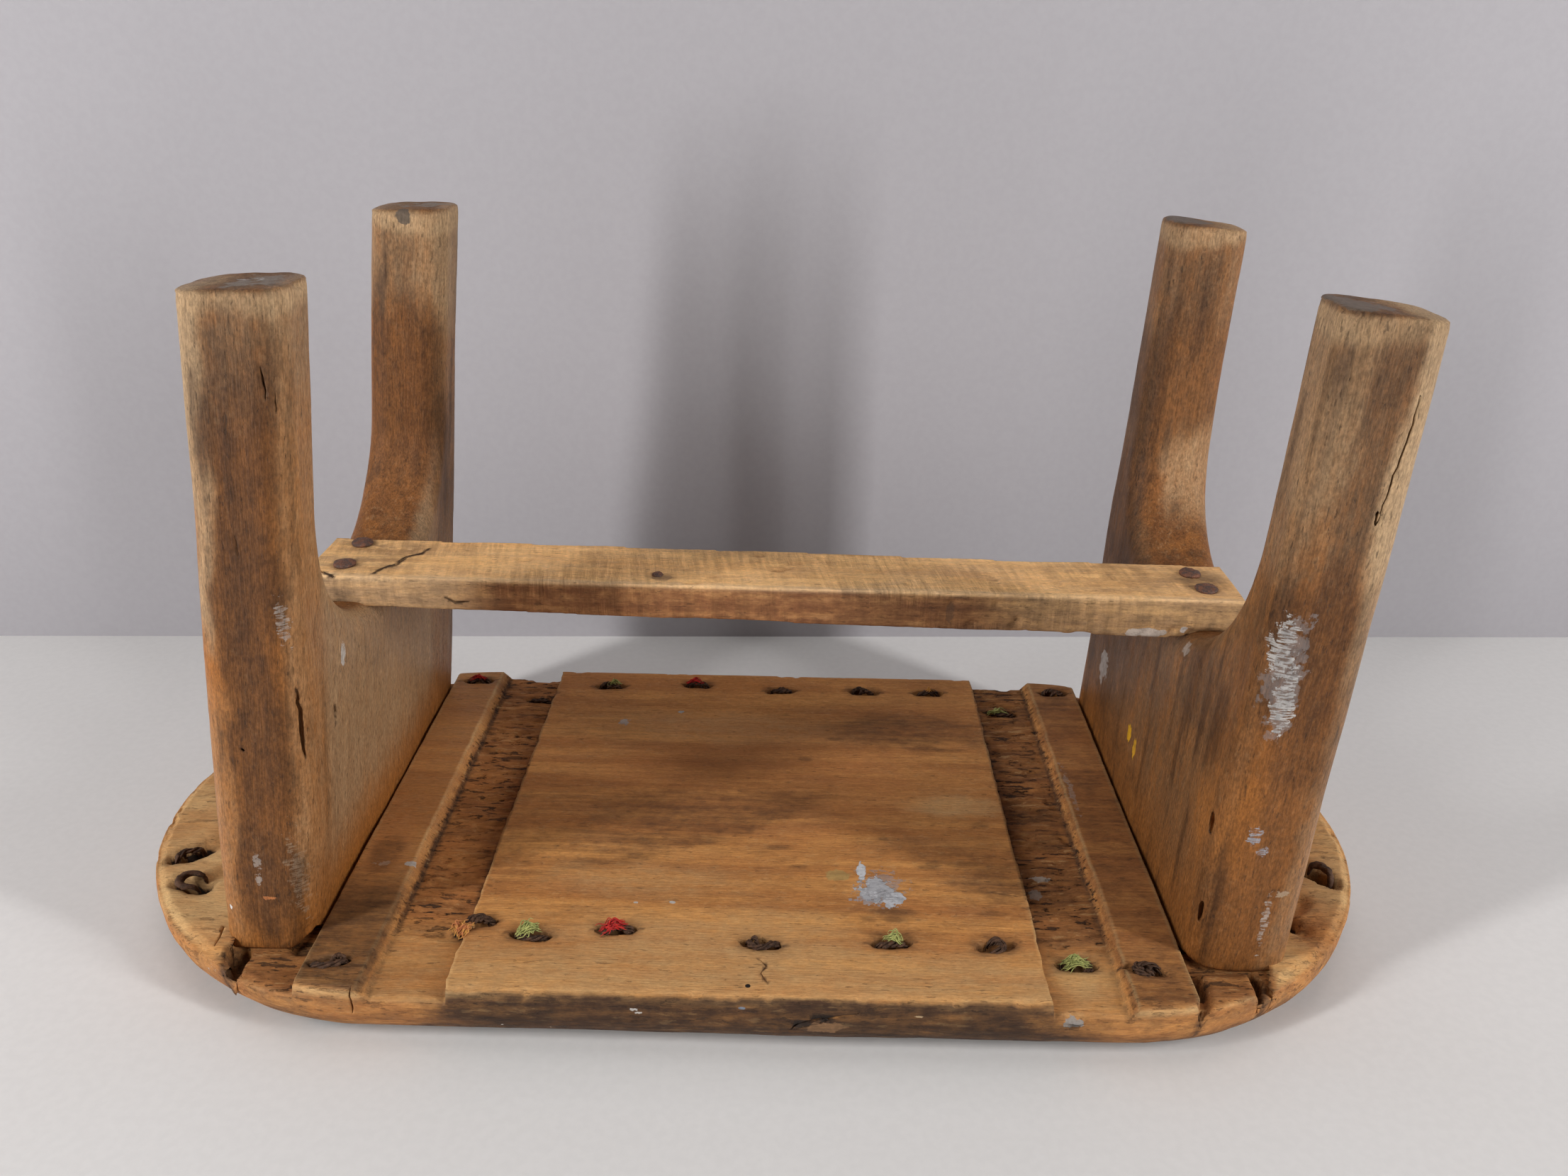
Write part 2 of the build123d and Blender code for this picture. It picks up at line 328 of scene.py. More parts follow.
woodFields = {  # each field of noise: on which grain, cells along and across it in mm, detail, roughness
    "streaks": ("bent", 45, 3.2, 4.0, 0.6), "fibres": ("bent", 9, 0.55, 3.0, 0.6),
    "pores": ("bent", 3.2, 0.42, 2.0, 0.5), "specks": ("bent", 5.5, 1.3, 3.0, 0.6),
    "tears": ("bent", 11, 2.6, 5.0, 0.68), "blotches": ("straight", 34, 17, 5.0, 0.62),
    "mottle": ("straight", 7, 4.5, 4.0, 0.65), "scuffs": ("straight", 3.5, 2.2, 5.0, 0.7),
    "glow": ("straight", 48, 13, 4.0, 0.6), "smoke": ("turned", 40, 16, 5.0, 0.62),
    "grit": ("straight", 2.2, 0.9, 4.0, 0.7),
}
woodLayers = [  # field, values between which it sets in, amount and tone by their names in the look
    ("streaks", 0.44, 0.62, "streak", "deep"), ("blotches", 0.5, 0.74, "blotch", "deep"),
    ("glow", 0.5, 0.62, "glow", "warm"), ("smoke", 0.5, 0.62, "smoke", "grey"),
    ("mottle", 0.47, 0.6, "mottled", "deep"), ("scuffs", 0.54, 0.63, "scuffed", "pale"),
]
paintedTones = [("Blue", "warm", 0.55), ("Green", "pale", 0.55), ("Red", "dark", 0.7)]  # channel, tone, spread


def woodFinish(name, look):
    mat, tree = startMaterial(name)
    spotPlace = place = inMillimetres(tree)
    if "lean" in look:  # the grain runs along a leaning leg
        height = put(tree, "SeparateXYZ", {0: place}).outputs[2]
        place = withVector(tree, "SUBTRACT", place, scaled(tree, (look["lean"], 0, 0), height))

    def grain(length, width):
        return tuple(length if k == look["grainAxis"] else width for k in range(3))

    waver = put(tree, "TexNoise", {"Vector": stretch(tree, place, grain(120, 45)), "Scale": 1.0, "Detail": 2.0})
    waver = withVector(tree, "SUBTRACT", waver.outputs[1], (0.5, 0.5, 0.5))
    bent = withVector(tree, "ADD", place, scaled(tree, waver, look["waver"]))
    grains = {"bent": bent, "straight": place, "turned": stretch(tree, place, (-1, 1, 1))}
    fields = {key: cloud(tree, grains[way], grain(length, width), detail, rough)
              for key, (way, length, width, detail, rough) in woodFields.items()}
    streaks, fibres, mottle, tears = (fields[key] for key in ("streaks", "fibres", "mottle", "tears"))
    torn = put(tree, "Attribute", attribute_name="torn", attribute_type="GEOMETRY").outputs["Fac"]
    tones = put(tree, "Attribute", attribute_name="tones", attribute_type="GEOMETRY").outputs
    parts = put(tree, "SeparateColor", {0: tones["Color"]}).outputs

    def broken(value, spread):  # a painted mask, broken up by the mottling and the streaks
        uneven = plus(tree, times(tree, mottle, 0.55), times(tree, streaks, 0.45))
        uneven = times(tree, minus(tree, uneven, 0.5), spread * 2)
        return plus(tree, value, times(tree, uneven, span(tree, value, 0.0, 0.25)), True)

    rings = cloud(tree, bent, grain(260, look["ring"]), 3.0, 0.6)
    colour = mixColour(tree, span(tree, rings, 0.36, 0.64), look["light"], look["mid"])
    for key, low, high, amount, tone in woodLayers:
        colour = mixColour(tree, span(tree, fields[key], low, high, 0.0, look[amount]), colour, look[tone])
    for channel, tone, spread in paintedTones:
        colour = mixColour(tree, broken(parts[channel], spread), colour, look[tone])
    fine = times(tree, span(tree, fibres, 0.3, 0.72, 1.0 + look["fibre"] * 0.45, 1.0 - look["fibre"]),
                 span(tree, fields["grit"], 0.34, 0.66, 1.0 + look["grit"] * 0.5, 1.0 - look["grit"]))
    colour = darken(tree, colour, fine)
    holes = calc(tree, "MAXIMUM", span(tree, fields["pores"], 0.64, 0.72, 0.0, look["pore"]),
                 span(tree, fields["specks"], 0.63, 0.69, 0.0, look["speck"]))
    rifts = times(tree, span(tree, tears, 0.565, 0.6), torn)
    ridges = times(tree, span(tree, tears, 0.36, 0.42, 1.0, 0.0), torn)
    # where the red tone is near full, mostly the painted shade inside slits and cracks, the colour turns to the
    # pit tone
    slits = span(tree, parts["Red"], 0.86, 0.94)
    for mask, tone in ((holes, "pit"), (times(tree, rifts, 0.88), "pit"), (slits, "pit"),
                       (times(tree, ridges, 0.35), "pale")):
        colour = mixColour(tree, mask, colour, look[tone])
    rough = span(tree, tones["Alpha"], 0.0, 1.0, look["rough"], look["polished"])
    rough = plus(tree, rough, times(tree, minus(tree, fibres, 0.5), 0.22))
    relief = times(tree, fibres, look["fibreRelief"])
    for field, amount in ((streaks, look["streakRelief"]), (mottle, look["mottleRelief"]), (holes, -0.5),
                          (rifts, -2.2), (times(tree, tears, torn), -1.3)):
        relief = plus(tree, relief, times(tree, field, amount))
    if "saw" in look:
        slant = scaled(tree, (0.16, 0, 0), put(tree, "SeparateXYZ", {0: place}).outputs[1])
        cuts = cloud(tree, withVector(tree, "ADD", bent, slant), (3.1, 34, 34), 4.0, 0.66)
        depth = span(tree, fields["glow"], 0.4, 0.6, 0.25, 1.3)
        cuts = plus(tree, 0.5, times(tree, minus(tree, cuts, 0.5), depth))
        relief = plus(tree, relief, times(tree, cuts, 1.3))
        colour = darken(tree, colour, span(tree, cuts, 0.34, 0.66, 1.0 - look["saw"], 1.0 + look["saw"] * 0.4))
    dragged = cloud(tree, spotPlace, (4.6, 4.6, 0.7), 3.0, 0.65)
    for spot in look.get("spots", []):
        mask = times(tree, spotMask(tree, spotPlace, spot), spot.get("cover", 1.0))
        if spot.get("speckled"):
            mask = times(tree, mask, span(tree, dragged, 0.47, 0.54, 1.0, 0.06))
        worn = tuple(0.72 * c for c in spot["colour"])
        paint = mixColour(tree, span(tree, fields["scuffs"], 0.42, 0.6), spot["colour"], worn)
        colour = mixColour(tree, mask, colour, paint)
        if "rough" in spot:
            rough = plus(tree, times(tree, rough, minus(tree, 1.0, mask)), times(tree, mask, spot["rough"]))
        relief = plus(tree, relief, times(tree, mask, spot.get("lift", 0.0)))
    return finishMaterial(mat, surface(tree, colour, rough, relief, look["bump"], 0.6,
                                       {"Specular IOR Level": look["gloss"]}))


def dress(obj, mat):
    obj.data.materials.clear()
    obj.data.materials.append(mat)
    only(obj)
    bpy.ops.object.shade_smooth()


# Seat board: a grid shaped to the stepped underside, closed by rings round the rim

seat = {
    "endCentre": 143.25,
    "endRadius": 125.0,
    "rimRound": 21.0,
    "arris": 0.8,
    "spacing": 1.3,
    "levels": [(-203.2, 27.5), (-205.2, 23.2), (-171.2, 23.4), (-170.3, 28.8), (-169.6, 29.0), (-146.2, 29.0),
               (-141.5, 24.6), (-112.8, 24.3), (-112.3, 30.0), (115.2, 30.0), (115.8, 24.3),
               (143.8, 24.6), (147.8, 29.0), (171.0, 29.0), (171.7, 28.8), (172.6, 23.4), (207.5, 23.2),
               (205.5, 27.5)],
    "endLevel": 27.3,
    "edgeRings": [(0.25, 0.4, "down"), (0.0, 1.0, "down"), (0.0, 0.5, "share"), (0.0, 0.0, "share")],
    "underRings": [(38, 0.35, "set"), (62, 0.7, "set"), (90, 0.9, "set"), (112, 0.95, "set")],
    "slit": (8.8, 3.2),
    "longDip": (1.1, 1.2, 4.2),  # worn round the slits: depth, from and to which distance
    "endDip": (3.0, 1.0, 6.5),
    "arrises": (-170.2, -146, -112.5, 115.3, 147.5, 171.6),
    "raggedEdges": ((-203.2, 0.8), (-170.3, 0.25), (-144, 0.8), (-112.5, 1.1),
                    (115.5, 1.0), (146, 1.0), (171.7, 0.25), (205.5, 0.8)),
    # feet of the recess walls, where dirt and painted shade run, and how far they reach
    "recessFeet": ((-142, 2.0), (-113.2, 3.4), (116.4, 3.6), (143.8, 2.0)),
    "grooves": [((-245.4, -43.4), (-209, -8), 7.5, 2.8), ((-232.8, -63.8), (-207, -30), 6.5, 2.8),
                ((-232.8, -63.8), (-258, -61), 5.0, 1.8), ((-245.4, -43.4), (-262, -44), 4.5, 1.4),
                ((246.7, -40.3), (232, -31), 6.0, 2.2), ((246.7, -40.3), (258, -52), 4.0, 1.5),
                ((217.8, -69), (232, -58), 7.0, 3.5), ((217.8, -69), (226, -76), 6.0, 2.5),
                ((217.8, -69), (214, -60), 7.0, 3.5), ((-249, 12), (-212, 20), 6.5, 2.2),
                ((-239, 48), (-212, 40), 6.5, 2.4), ((249.5, 14), (216, 22), 6.5, 2.2),
                ((240, 48), (216, 42), 6.5, 2.2)],
    "hollows": [((-200.3, -104), (4.5, 9), 8.0), ((199.5, -105), (3.6, 8), 9.0), ((175.5, -108), (2.6, 7), 5.0),
                ((172.5, -121.5), (1.8, 3.5), 4.0), ((-176, -96), (5, 5), 2.5)],
    "cracks": [([(-147.6, -126.5, 30), (-147.2, -126.5, 24), (-148.2, -126, 17)], (0, 1, 0), 0.5, 7.0),
               ([(16, -126.5, 13), (22, -126.5, 17.2), (33, -126.5, 21.5), (45, -126.5, 23.8)],
                (0, 1, 0.3), 0.75, 6.0),
               ([(17.5, -126.5, 14), (21, -126.5, 17), (27, -126.5, 19.6), (32, -126.5, 21)],
                (0, 1, 0.2), 1.9, 5.5),
               ([(4.2, -103, 30.4), (8.2, -107.5, 30.4), (5.6, -111.5, 30.4), (9.0, -117, 30.4)],
                (0, 0, -1), 0.28, 1.6),
               ([(-210.3, -89, 28.5), (-209.4, -95, 28.5), (-208.6, -101, 28.5)], (0, 0, -1), 0.6, 4.0),
               ([(171.6, -126, 27), (171.8, -125.5, 19)], (0, 1, 0), 0.8, 6.0),
               ([(196, -116, 20), (203, -113, 17)], (-0.3, 1, 0), 0.6, 4.0),
               ([(-196, -125, 28), (-190, -125, 24.5)], (0, 1, 0), 0.5, 4.0),
               ([(100, -60, 30.6), (112.6, -62, 30.6)], (0, 0, -1), 0.35, 2.0)],
}
slits = {  # x, y, turn in degrees and level of each slit, in the order of their numbers
    "front": [(-160.9, -109.0, 6, 29.0), (-109.0, -86.2, 8, 30.0), (-86.0, -93.0, -4, 30.0),
              (-52.6, -88.7, 5, 30.0), (5.4, -94.6, -6, 30.0), (57.0, -92.8, 3, 30.0), (98.5, -92.9, 12, 30.0),
              (130.3, -97.0, -3, 24.5), (155.3, -103.0, -14, 29.0)],
    "back": [(-157.7, 112.5, 4, 29.0), (-120.8, 99.4, -5, 24.5), (-83.3, 107.7, 3, 30.0),
             (-36.4, 111.3, -4, 30.0), (9.8, 106.7, 5, 30.0), (55.0, 107.3, -3, 30.0), (90.3, 107.4, 4, 30.0),
             (130.0, 96.2, -6, 24.5), (160.3, 112.5, 3, 29.0)],
    "left": [(-246.5, -43.2, 35, 27.5), (-234.9, -63.5, -20, 27.5), (-248.4, 12.0, 80, 27.5),
             (-239.6, 48.0, 62, 27.5), (-221.6, 79.0, 40, 27.5)],
    "right": [(247.8, -39.7, -60, 27.5), (249.5, 14.0, -84, 27.5), (240.6, 48.0, -62, 27.5),
              (222.1, 79.0, -40, 27.5)],
}
stitches = {f"{side}Thong{k + 1}": slit for side, row in slits.items() for k, slit in enumerate(row)}
stitches["tornSlit"] = (217.8, -69.0, -35, 27.5)
zones = {  # spans of x that each part of the top takes up: as shaped, as painted and as torn
    "shape": {"recess": ((-142.5, -112.6), (115.6, 144.5)), "trench": ((-203.5, -171), (172.4, 206)),
              "field": ((-112.5, 115.5),)},
    "tones": {"recess": ((-143, -112.6), (115.5, 145)), "trench": ((-204, -171), (172.5, 206)),
              "field": ((-112.5, 115.5),), "leftBand": ((-170.5, -144),), "rightBand": ((146, 172),),
              "rightRecess": ((115.5, 145),), "board": ((-203, 205.5),)},
    "torn": {"recess": ((-144, -112.6), (115.4, 146)), "trench": ((-204, -171), (172.4, 206)),
             "bands": ((-170.5, -144), (146, 172))},
}


def outward(points):  # nearest point of the seat's middle line, and the way out from it
    middle = np.zeros_like(points[:, :2])
    middle[:, 0] = np.clip(points[:, 0], -seat["endCentre"], seat["endCentre"])
    away = points[:, :2] - middle
    far = np.maximum(np.linalg.norm(away, axis=1), 1e-9)
    return middle, away / far[:, None], far


def seatColumns():
    reach = seat["endRadius"] - seat["arris"]
    levels = seat["levels"]
    last = math.asin((levels[-1][0] - seat["endCentre"]) / reach)
    first = math.asin((-levels[0][0] - seat["endCentre"]) / reach)
    top = math.radians(86)
    count = 58
    columns = []
    for k in range(count):
        angle = top + (first - top) * k / count
        columns.append((-seat["endCentre"] - reach * math.sin(angle), seat["endLevel"]))
    for (x0, z0), (x1, z1) in zip(levels, levels[1:]):
        pieces = max(2, round(math.hypot(x1 - x0, z1 - z0) / seat["spacing"]))
        columns += [(x0 + (x1 - x0) * k / pieces, z0 + (z1 - z0) * k / pieces) for k in range(pieces)]
    for k in range(count + 1):
        angle = last + (top - last) * k / count
        columns.append((seat["endCentre"] + reach * math.sin(angle), levels[-1][1]))
    return np.array(columns)


def stitchDistance(points, stitch, half):
    x, y, turn = stitch[0], stitch[1], math.radians(stitch[2])
    way = np.array([math.cos(turn), math.sin(turn)]) * half
    at = np.array([x, y])
    return segmentDistance(points[:, :2], at - way, at + way)


def makeSeat():
    columns = seatColumns()
    rows = int(2 * seat["endRadius"] / seat["spacing"])
    bpy.ops.mesh.primitive_grid_add(x_subdivisions=len(columns) - 1, y_subdivisions=rows, size=2)
    obj = bpy.context.object
    flat = readPoints(obj) * mm
    i = np.rint((flat[:, 0] + 1) / 2 * (len(columns) - 1)).astype(int)
    share = flat[:, 1]
    x, z = columns[i, 0], columns[i, 1].copy()
    reach = seat["endRadius"] - seat["arris"]
    overEnd = np.clip(np.abs(x) - seat["endCentre"], 0, reach)
    y = share * np.sqrt(reach**2 - overEnd**2)
    p = np.stack([x, y, z], axis=1)
    writePoints(obj, shapeTop(p))

    editMode(obj, "SELECT")
    bpy.ops.mesh.region_to_loop()
    rings = list(seat["edgeRings"])
    for angle in (math.radians(90 * k / 7) for k in range(1, 8)):
        inset, level = (seat["rimRound"] * (1 - turn) for turn in (math.cos(angle), math.sin(angle)))
        rings.append((inset, level, "set"))
    for inset, level, how in rings + seat["underRings"]:
        bpy.ops.mesh.extrude_region_move(TRANSFORM_OT_translate={"value": (0, 0, 0)})
        objectMode()
        p = readPoints(obj)
        picked = np.zeros(len(p), bool)
        obj.data.vertices.foreach_get("select", picked)
        middle, way, far = outward(p[picked])
        new = p[picked].copy()
        new[:, :2] = middle + way * (seat["endRadius"] - inset)
        if how == "down":
            new[:, 2] -= level
        elif how == "share":
            new[:, 2] = seat["rimRound"] + (new[:, 2] - seat["rimRound"]) * level
        else:
            new[:, 2] = level
        p[picked] = new
        writePoints(obj, p)
        bpy.ops.object.mode_set(mode="EDIT")
    bpy.ops.mesh.edge_face_add()
    objectMode()
    faceOutward(obj)
    waveRim(obj)
    print("seat board shaped", len(obj.data.vertices))

    cutters = []
    for stitch in stitches.values():
        bpy.ops.mesh.primitive_cylinder_add(vertices=40, radius=1, depth=60, location=(0, 0, 0))
        cutter = bpy.context.object
        c = readPoints(cutter) * mm
        half, wide = seat["slit"]
        turn = math.radians(stitch[2])
        uneven = 1 + 0.75 * sway(c * 3 + stitch[0], (0.9, 0.9, 400), 91)
        lx = c[:, 0] * half * (0.93 + 0.07 * uneven)
        ly = np.sign(c[:, 1]) * np.abs(c[:, 1]) ** 1.35 * wide * uneven
        c[:, 0] = stitch[0] + lx * math.cos(turn) - ly * math.sin(turn)
        c[:, 1] = stitch[1] + lx * math.sin(turn) + ly * math.cos(turn)
        writePoints(cutter, c)
        cutters.append(cutter)
    cutters += [crackCutter(*crack, 95 + k) for k, crack in enumerate(seat["cracks"])]
    cutAway(obj, cutters)
    print("seat slits cut", len(obj.data.vertices))
    return obj


def shapeTop(p):
    x, y, z = p[:, 0].copy(), p[:, 1].copy(), p[:, 2].copy()
    flat = np.stack([x, y, np.zeros_like(x)], axis=1)
    edge = seat["endRadius"] - outward(p)[2]
    ragged = sway(flat, (400, 7, 9), 11)
    for line, amount in seat["raggedEdges"]:
        p[:, 0] += ragged * amount * 2 * fade(0.5, 7, np.abs(x - line))
    front = smooth(-96, -116, y)
    p[:, 0] += 4.5 * front * fade(1, 12, np.abs(x + 204))
    p[:, 0] -= 5.5 * front * fade(1, 12, np.abs(x - 206))
    spans = zones["shape"]
    inRecess, inField = within(x, *spans["recess"]), within(x, *spans["field"])
    inTrench = within(x, *spans["trench"]) & (z < 27)
    inEnd = (x < -203) | (x > 205.4)
    torn = smooth(-98, -84, y)
    tear = sway(flat, (15, 2.2, 1), 21)
    hollow = sway(flat, (30, 14, 1), 22, 2)
    split = smooth(0.62, 0.74, noise(flat, (9, 1.5, 1), 23, 2))
    z += np.where(inRecess, (0.25 + 0.75 * torn) * (1.6 * tear + 1.4 * hollow) - 1.3 * torn * split, 0)
    z += np.where(inTrench, 1.6 * sway(flat, (5, 9, 1), 24) + 1.5 * hollow, 0)
    z += np.where(inField, 0.5 * hollow + 0.18 * tear, 0)
    z += np.where(inEnd, 1.4 * sway(flat, (22, 13, 1), 25) + 0.4 * tear, 0)
    z += np.where(~(inRecess | inTrench | inField | inEnd), 0.5 * hollow + 0.2 * tear, 0)
    nibbled = 2.2 * sway(flat, (3.5, 3.5, 1), 31, 2)
    for name, stitch in stitches.items():
        deep, near, far = seat["longDip"] if name[0] in "fb" else seat["endDip"]
        z -= deep * fade(near, far, stitchDistance(p, stitch, 5.5) + nibbled)
    gouged = 2.0 * sway(flat, (5, 5, 1), 33)
    for start, end, wide, deep in seat["grooves"]:
        z -= deep * fade(0.5, wide, segmentDistance(flat[:, :2], start, end) + gouged) * inEnd
    broken = 0.5 * sway(flat, (3, 3, 1), 34)
    for (cx, cy), (rx, ry), deep in seat["hollows"]:
        z -= deep * fade(0.6, 1.0, np.hypot((x - cx) / rx, (y - cy) / ry) + broken)
    raised = fade(8.5, 11.5, np.abs(x - 186.5)) * smooth(-98, -104, y)
    z += np.where(inTrench, 3.4 * raised, 0)
    chips = noise(flat, (9, 9, 1), 41, 3)
    soft = np.where(inEnd, 3.5, 1.8)
    z -= np.where(inEnd, 1.8, 0.8) * fade(0.5, soft + 2.5 * chips, edge)
    z -= 1.6 * smooth(0.62, 0.8, chips) * fade(1, 5, edge)
    p[:, 2] = z
    return p


def waveRim(obj):
    p = readPoints(obj)
    middle, way, far = outward(p)
    near = smooth(85, 118, far)
    flat = np.stack([way[:, 0] * 125 + middle[:, 0], way[:, 1] * 125, np.zeros(len(p))], axis=1)
    wave = 1.3 * sway(flat, (60, 60, 1), 51, 2)
    dents = sway(p, (14, 14, 7), 52) * 1.1 * fade(20, 26, p[:, 2])
    p[:, :2] += way * ((wave - 0.35) * near + dents * near)[:, None]
    writePoints(obj, p)


board = makeSeat()


def zoneTones(p):  # tones of the seat that follow its parts
    x, y, z = p.T
    tones = np.zeros((len(p), 4))
    dark, pale, warm, polish = tones.T
    edge = seat["endRadius"] - outward(p)[2]
    onTop = smooth(20, 23, z) * smooth(0.4, 2.2, edge)
    wobble = noise(p, (26, 26, 26), 61, 4)
    stretched = noise(p, (34, 7, 7), 62, 4)
    patchy = wobble - 0.5
    streaky = stretched - 0.5

    def on(zone, soft=1.0):
        return sum(smooth(low - soft, low + soft, x) * fade(high - soft, high + soft, x) * onTop
                   for low, high in zones["tones"][zone])

    leftBand, rightBand, recess, trench, field = (
        on(zone) for zone in ("leftBand", "rightBand", "recess", "trench", "field"))
    ends = (1 - on("board")) * onTop
    back = smooth(-92, -78, y)
    rim = 1 - onTop
    low = fade(4, 19, z)
    frontEdge = smooth(-134, -100, x) * fade(100, 150, x) * smooth(-60, -100, y)
    rimDark = np.clip(0.12 + frontEdge + 0.7 * low + (1.8 - 0.8 * frontEdge) * streaky, 0, 1)
    dark += rim * rimDark * (0.84 + 0.05 * frontEdge)
    dark += rightBand * (0.42 + 0.6 * patchy) + recess * back * (0.22 + 0.8 * streaky)
    dark += on("rightRecess") * 0.25 * smooth(-96, -80, y) + trench * 0.4
    dark += leftBand * 0.75 * smooth(-50, -84, y + 30 * patchy)
    pale += ends * np.clip(np.where(x < 0, 0.6, 0.36) + 1.3 * patchy, 0, 1)
    pale += field * 0.4 * smooth(-84, -116, y) + leftBand * 0.14 + recess * (1 - back) * 0.2
    pale += rim * (0.25 - 0.18 * frontEdge) * smooth(0.55, 0.8, stretched)
    warm += leftBand * 0.35 + rightBand * 0.4 + recess * back * 0.55 + trench * 0.5
    warm += rim * 0.5 * wobble * (1 - frontEdge) + field * 0.2 * smooth(60, 110, y)
    # Painted shadow: the field darkens behind a slanting line where the leg slabs cast their shadows, across
    # the middle and at the front right corner.
    shadowEdge = np.interp(x, (-115, -61, -8, 40, 60, 93, 120), (-66, -51, -28, 6, -30, -62, -82))
    paintedShadow = smooth(-4, 6, y - shadowEdge + 10 * patchy) * field  # painted shadow of the leg slabs, behind a slanting line
    leftOf = fade(30, 50, x)
    middleShadow = leftOf * (0.4 + 0.6 * smooth(-85, -45, x)) * fade(0, 20, y)
    cornerShadow = (1 - leftOf) * fade(-45, -15, y)
    dark += paintedShadow * (0.4 * middleShadow + 0.26 * cornerShadow)
    polish += leftBand * 0.7 + field * 0.35 + rim * 0.4 + rightBand * 0.4
    for name, stitch in stitches.items():
        longSide = name[0] in "fb"
        stain = fade(1.8, 7.5 if longSide else 10, stitchDistance(p, stitch, 5) + 5 * patchy)
        atLeast(dark, stain * smooth(20, 24, z) * 0.42)
        tail = fade(0.3, 1.0, stitchDistance(p, stitch, 10.5) + 1.4 * streaky)
        atLeast(dark, tail * 0.7 * onTop)
        # painted shade deep inside each slit
        inside = (stitchDistance(p, stitch, 7) < 3.4) & (z < stitch[3] - (1.9 if longSide else 3.6))
        dark[inside] = 0.95
    arris = fade(0.4, 1.9, edge + 1.6 * streaky) * smooth(24, 27, z)
    for line in seat["arrises"]:
        atLeast(arris, fade(0.3, 1.3, np.abs(x - line)) * smooth(28.0, 28.8, z))
    atLeast(pale, arris * np.clip(0.65 + 1.4 * patchy, 0, 1) * 0.9)
    for (cx, cy), (rx, ry), _ in seat["hollows"]:
        d = np.hypot((x - cx) / rx, (y - cy) / ry) + 0.5 * patchy
        atLeast(dark, 0.8 * fade(0.75, 1.05, d) * smooth(29, 26, z))
    atLeast(dark, 0.7 * fade(3, 9, np.hypot(x - 218.5, y + 68) + 8 * streaky) * onTop)  # round the torn slit
    # dirt and painted shade along the foot of each recess wall
    for line, reach in seat["recessFeet"]:
        near = fade(0.4, reach, np.abs(x - line) + 2 * streaky) * fade(25.5, 27, z) * onTop
        atLeast(dark, near * (0.35 + 0.65 * back) * 0.85)
    atLeast(dark, crackShade(p, seat["cracks"]))
    return np.clip(tones, 0, 1)


def seatTorn(p):  # where the wood is left torn and split by the chisel
    x, y, z = p.T
    onTop = smooth(20, 23, z) * smooth(0.4, 2.2, seat["endRadius"] - outward(p)[2])
    patchy = smooth(0.35, 0.6, noise(p, (30, 18, 18), 65, 3))
    recess, trench, bands = (within(x, *zones["torn"][zone]) for zone in ("recess", "trench", "bands"))
    ends = (x < -204) | (x > 206)
    torn = recess * smooth(-94, -80, y) * (0.4 + 0.6 * patchy) + trench * 0.8 + ends * 0.25 * patchy
    torn = torn + bands * 0.25 * smooth(-96, -112, y)
    return torn * onTop + (1 - onTop) * 0.3 * patchy


def daub(at, size, ragged, cell, colour, **more):  # a splash of paint or dirt: where, how large, how ragged
    return {"at": at, "size": size, "ragged": ragged, "cell": cell, "colour": colour, **more}


seatMarks = {
    # the dark mark at (101, -58) is a painted shadow at the front right of the field
    "dark": [((74, 68, 30), (52, 22, 30), 0.5), ((101, -58, 30), (20, 16, 30), 0.3),
             ((-160, -42, 30), (9, 16, 8), 0.45), ((232, -20, 28), (26, 70, 10), 0.2),
             ((-147, 112, 30), (14, 14, 30), 0.3), ((60, -74, 30), (12, 4, 8), 0.55),
             # the dark mark at (-14, -9) is a painted shadow across the middle of the field
             ((-230, 20, 30), (24, 60, 30), 0.2), ((-14, -9, 30), (74, 12, 30), 0.2),
             ((-90, -124, 20), (30, 8, 10), 0.15), ((60, -124, 14), (60, 8, 10), 0.12),
             ((20, -125, 18), (7, 8, 2), 0.8), ((29, -125, 22), (7, 8, 1.6), 0.8),
             *[((x, y, 30), (wide, 2.6, 6), 0.42) for x, y, wide in (
                 (13, 81, 4), (23, 39, 5), (38, 58, 6), (58, -25, 4), (-2, -21, 3), (76, -45, 6), (102, -13, 6),
                 (20, -47, 5), (10, -33, 8), (48, -79, 5), (60, -79, 7), (-47, -19, 4), (96, 50, 14),
                 (101, -74, 9))]],
    # the pale mark at (92, 1) is a painted pool of light on the field
    "pale": [((130, -104, 25), (16, 18, 8), 0.5), ((92, 1, 30), (26, 12, 8), 0.5),
             ((-20, 66, 30), (90, 22, 30), 0.2), ((-40, -58, 30), (60, 18, 30), 0.2),
             ((-236, -20, 28), (30, 90, 8), 0.25), ((-20, -92, 30), (90, 22, 30), 0.3),
             ((30, -126, 15.6), (9, 8, 2.2), 0.7)],
    "warm": [((-160, -36, 30), (12, 30, 8), 0.6), ((232, -20, 28), (34, 95, 10), 0.5),
             ((-232, -20, 28), (34, 95, 10), 0.3), ((0, 20, 30), (115, 70, 30), 0.4)],
}
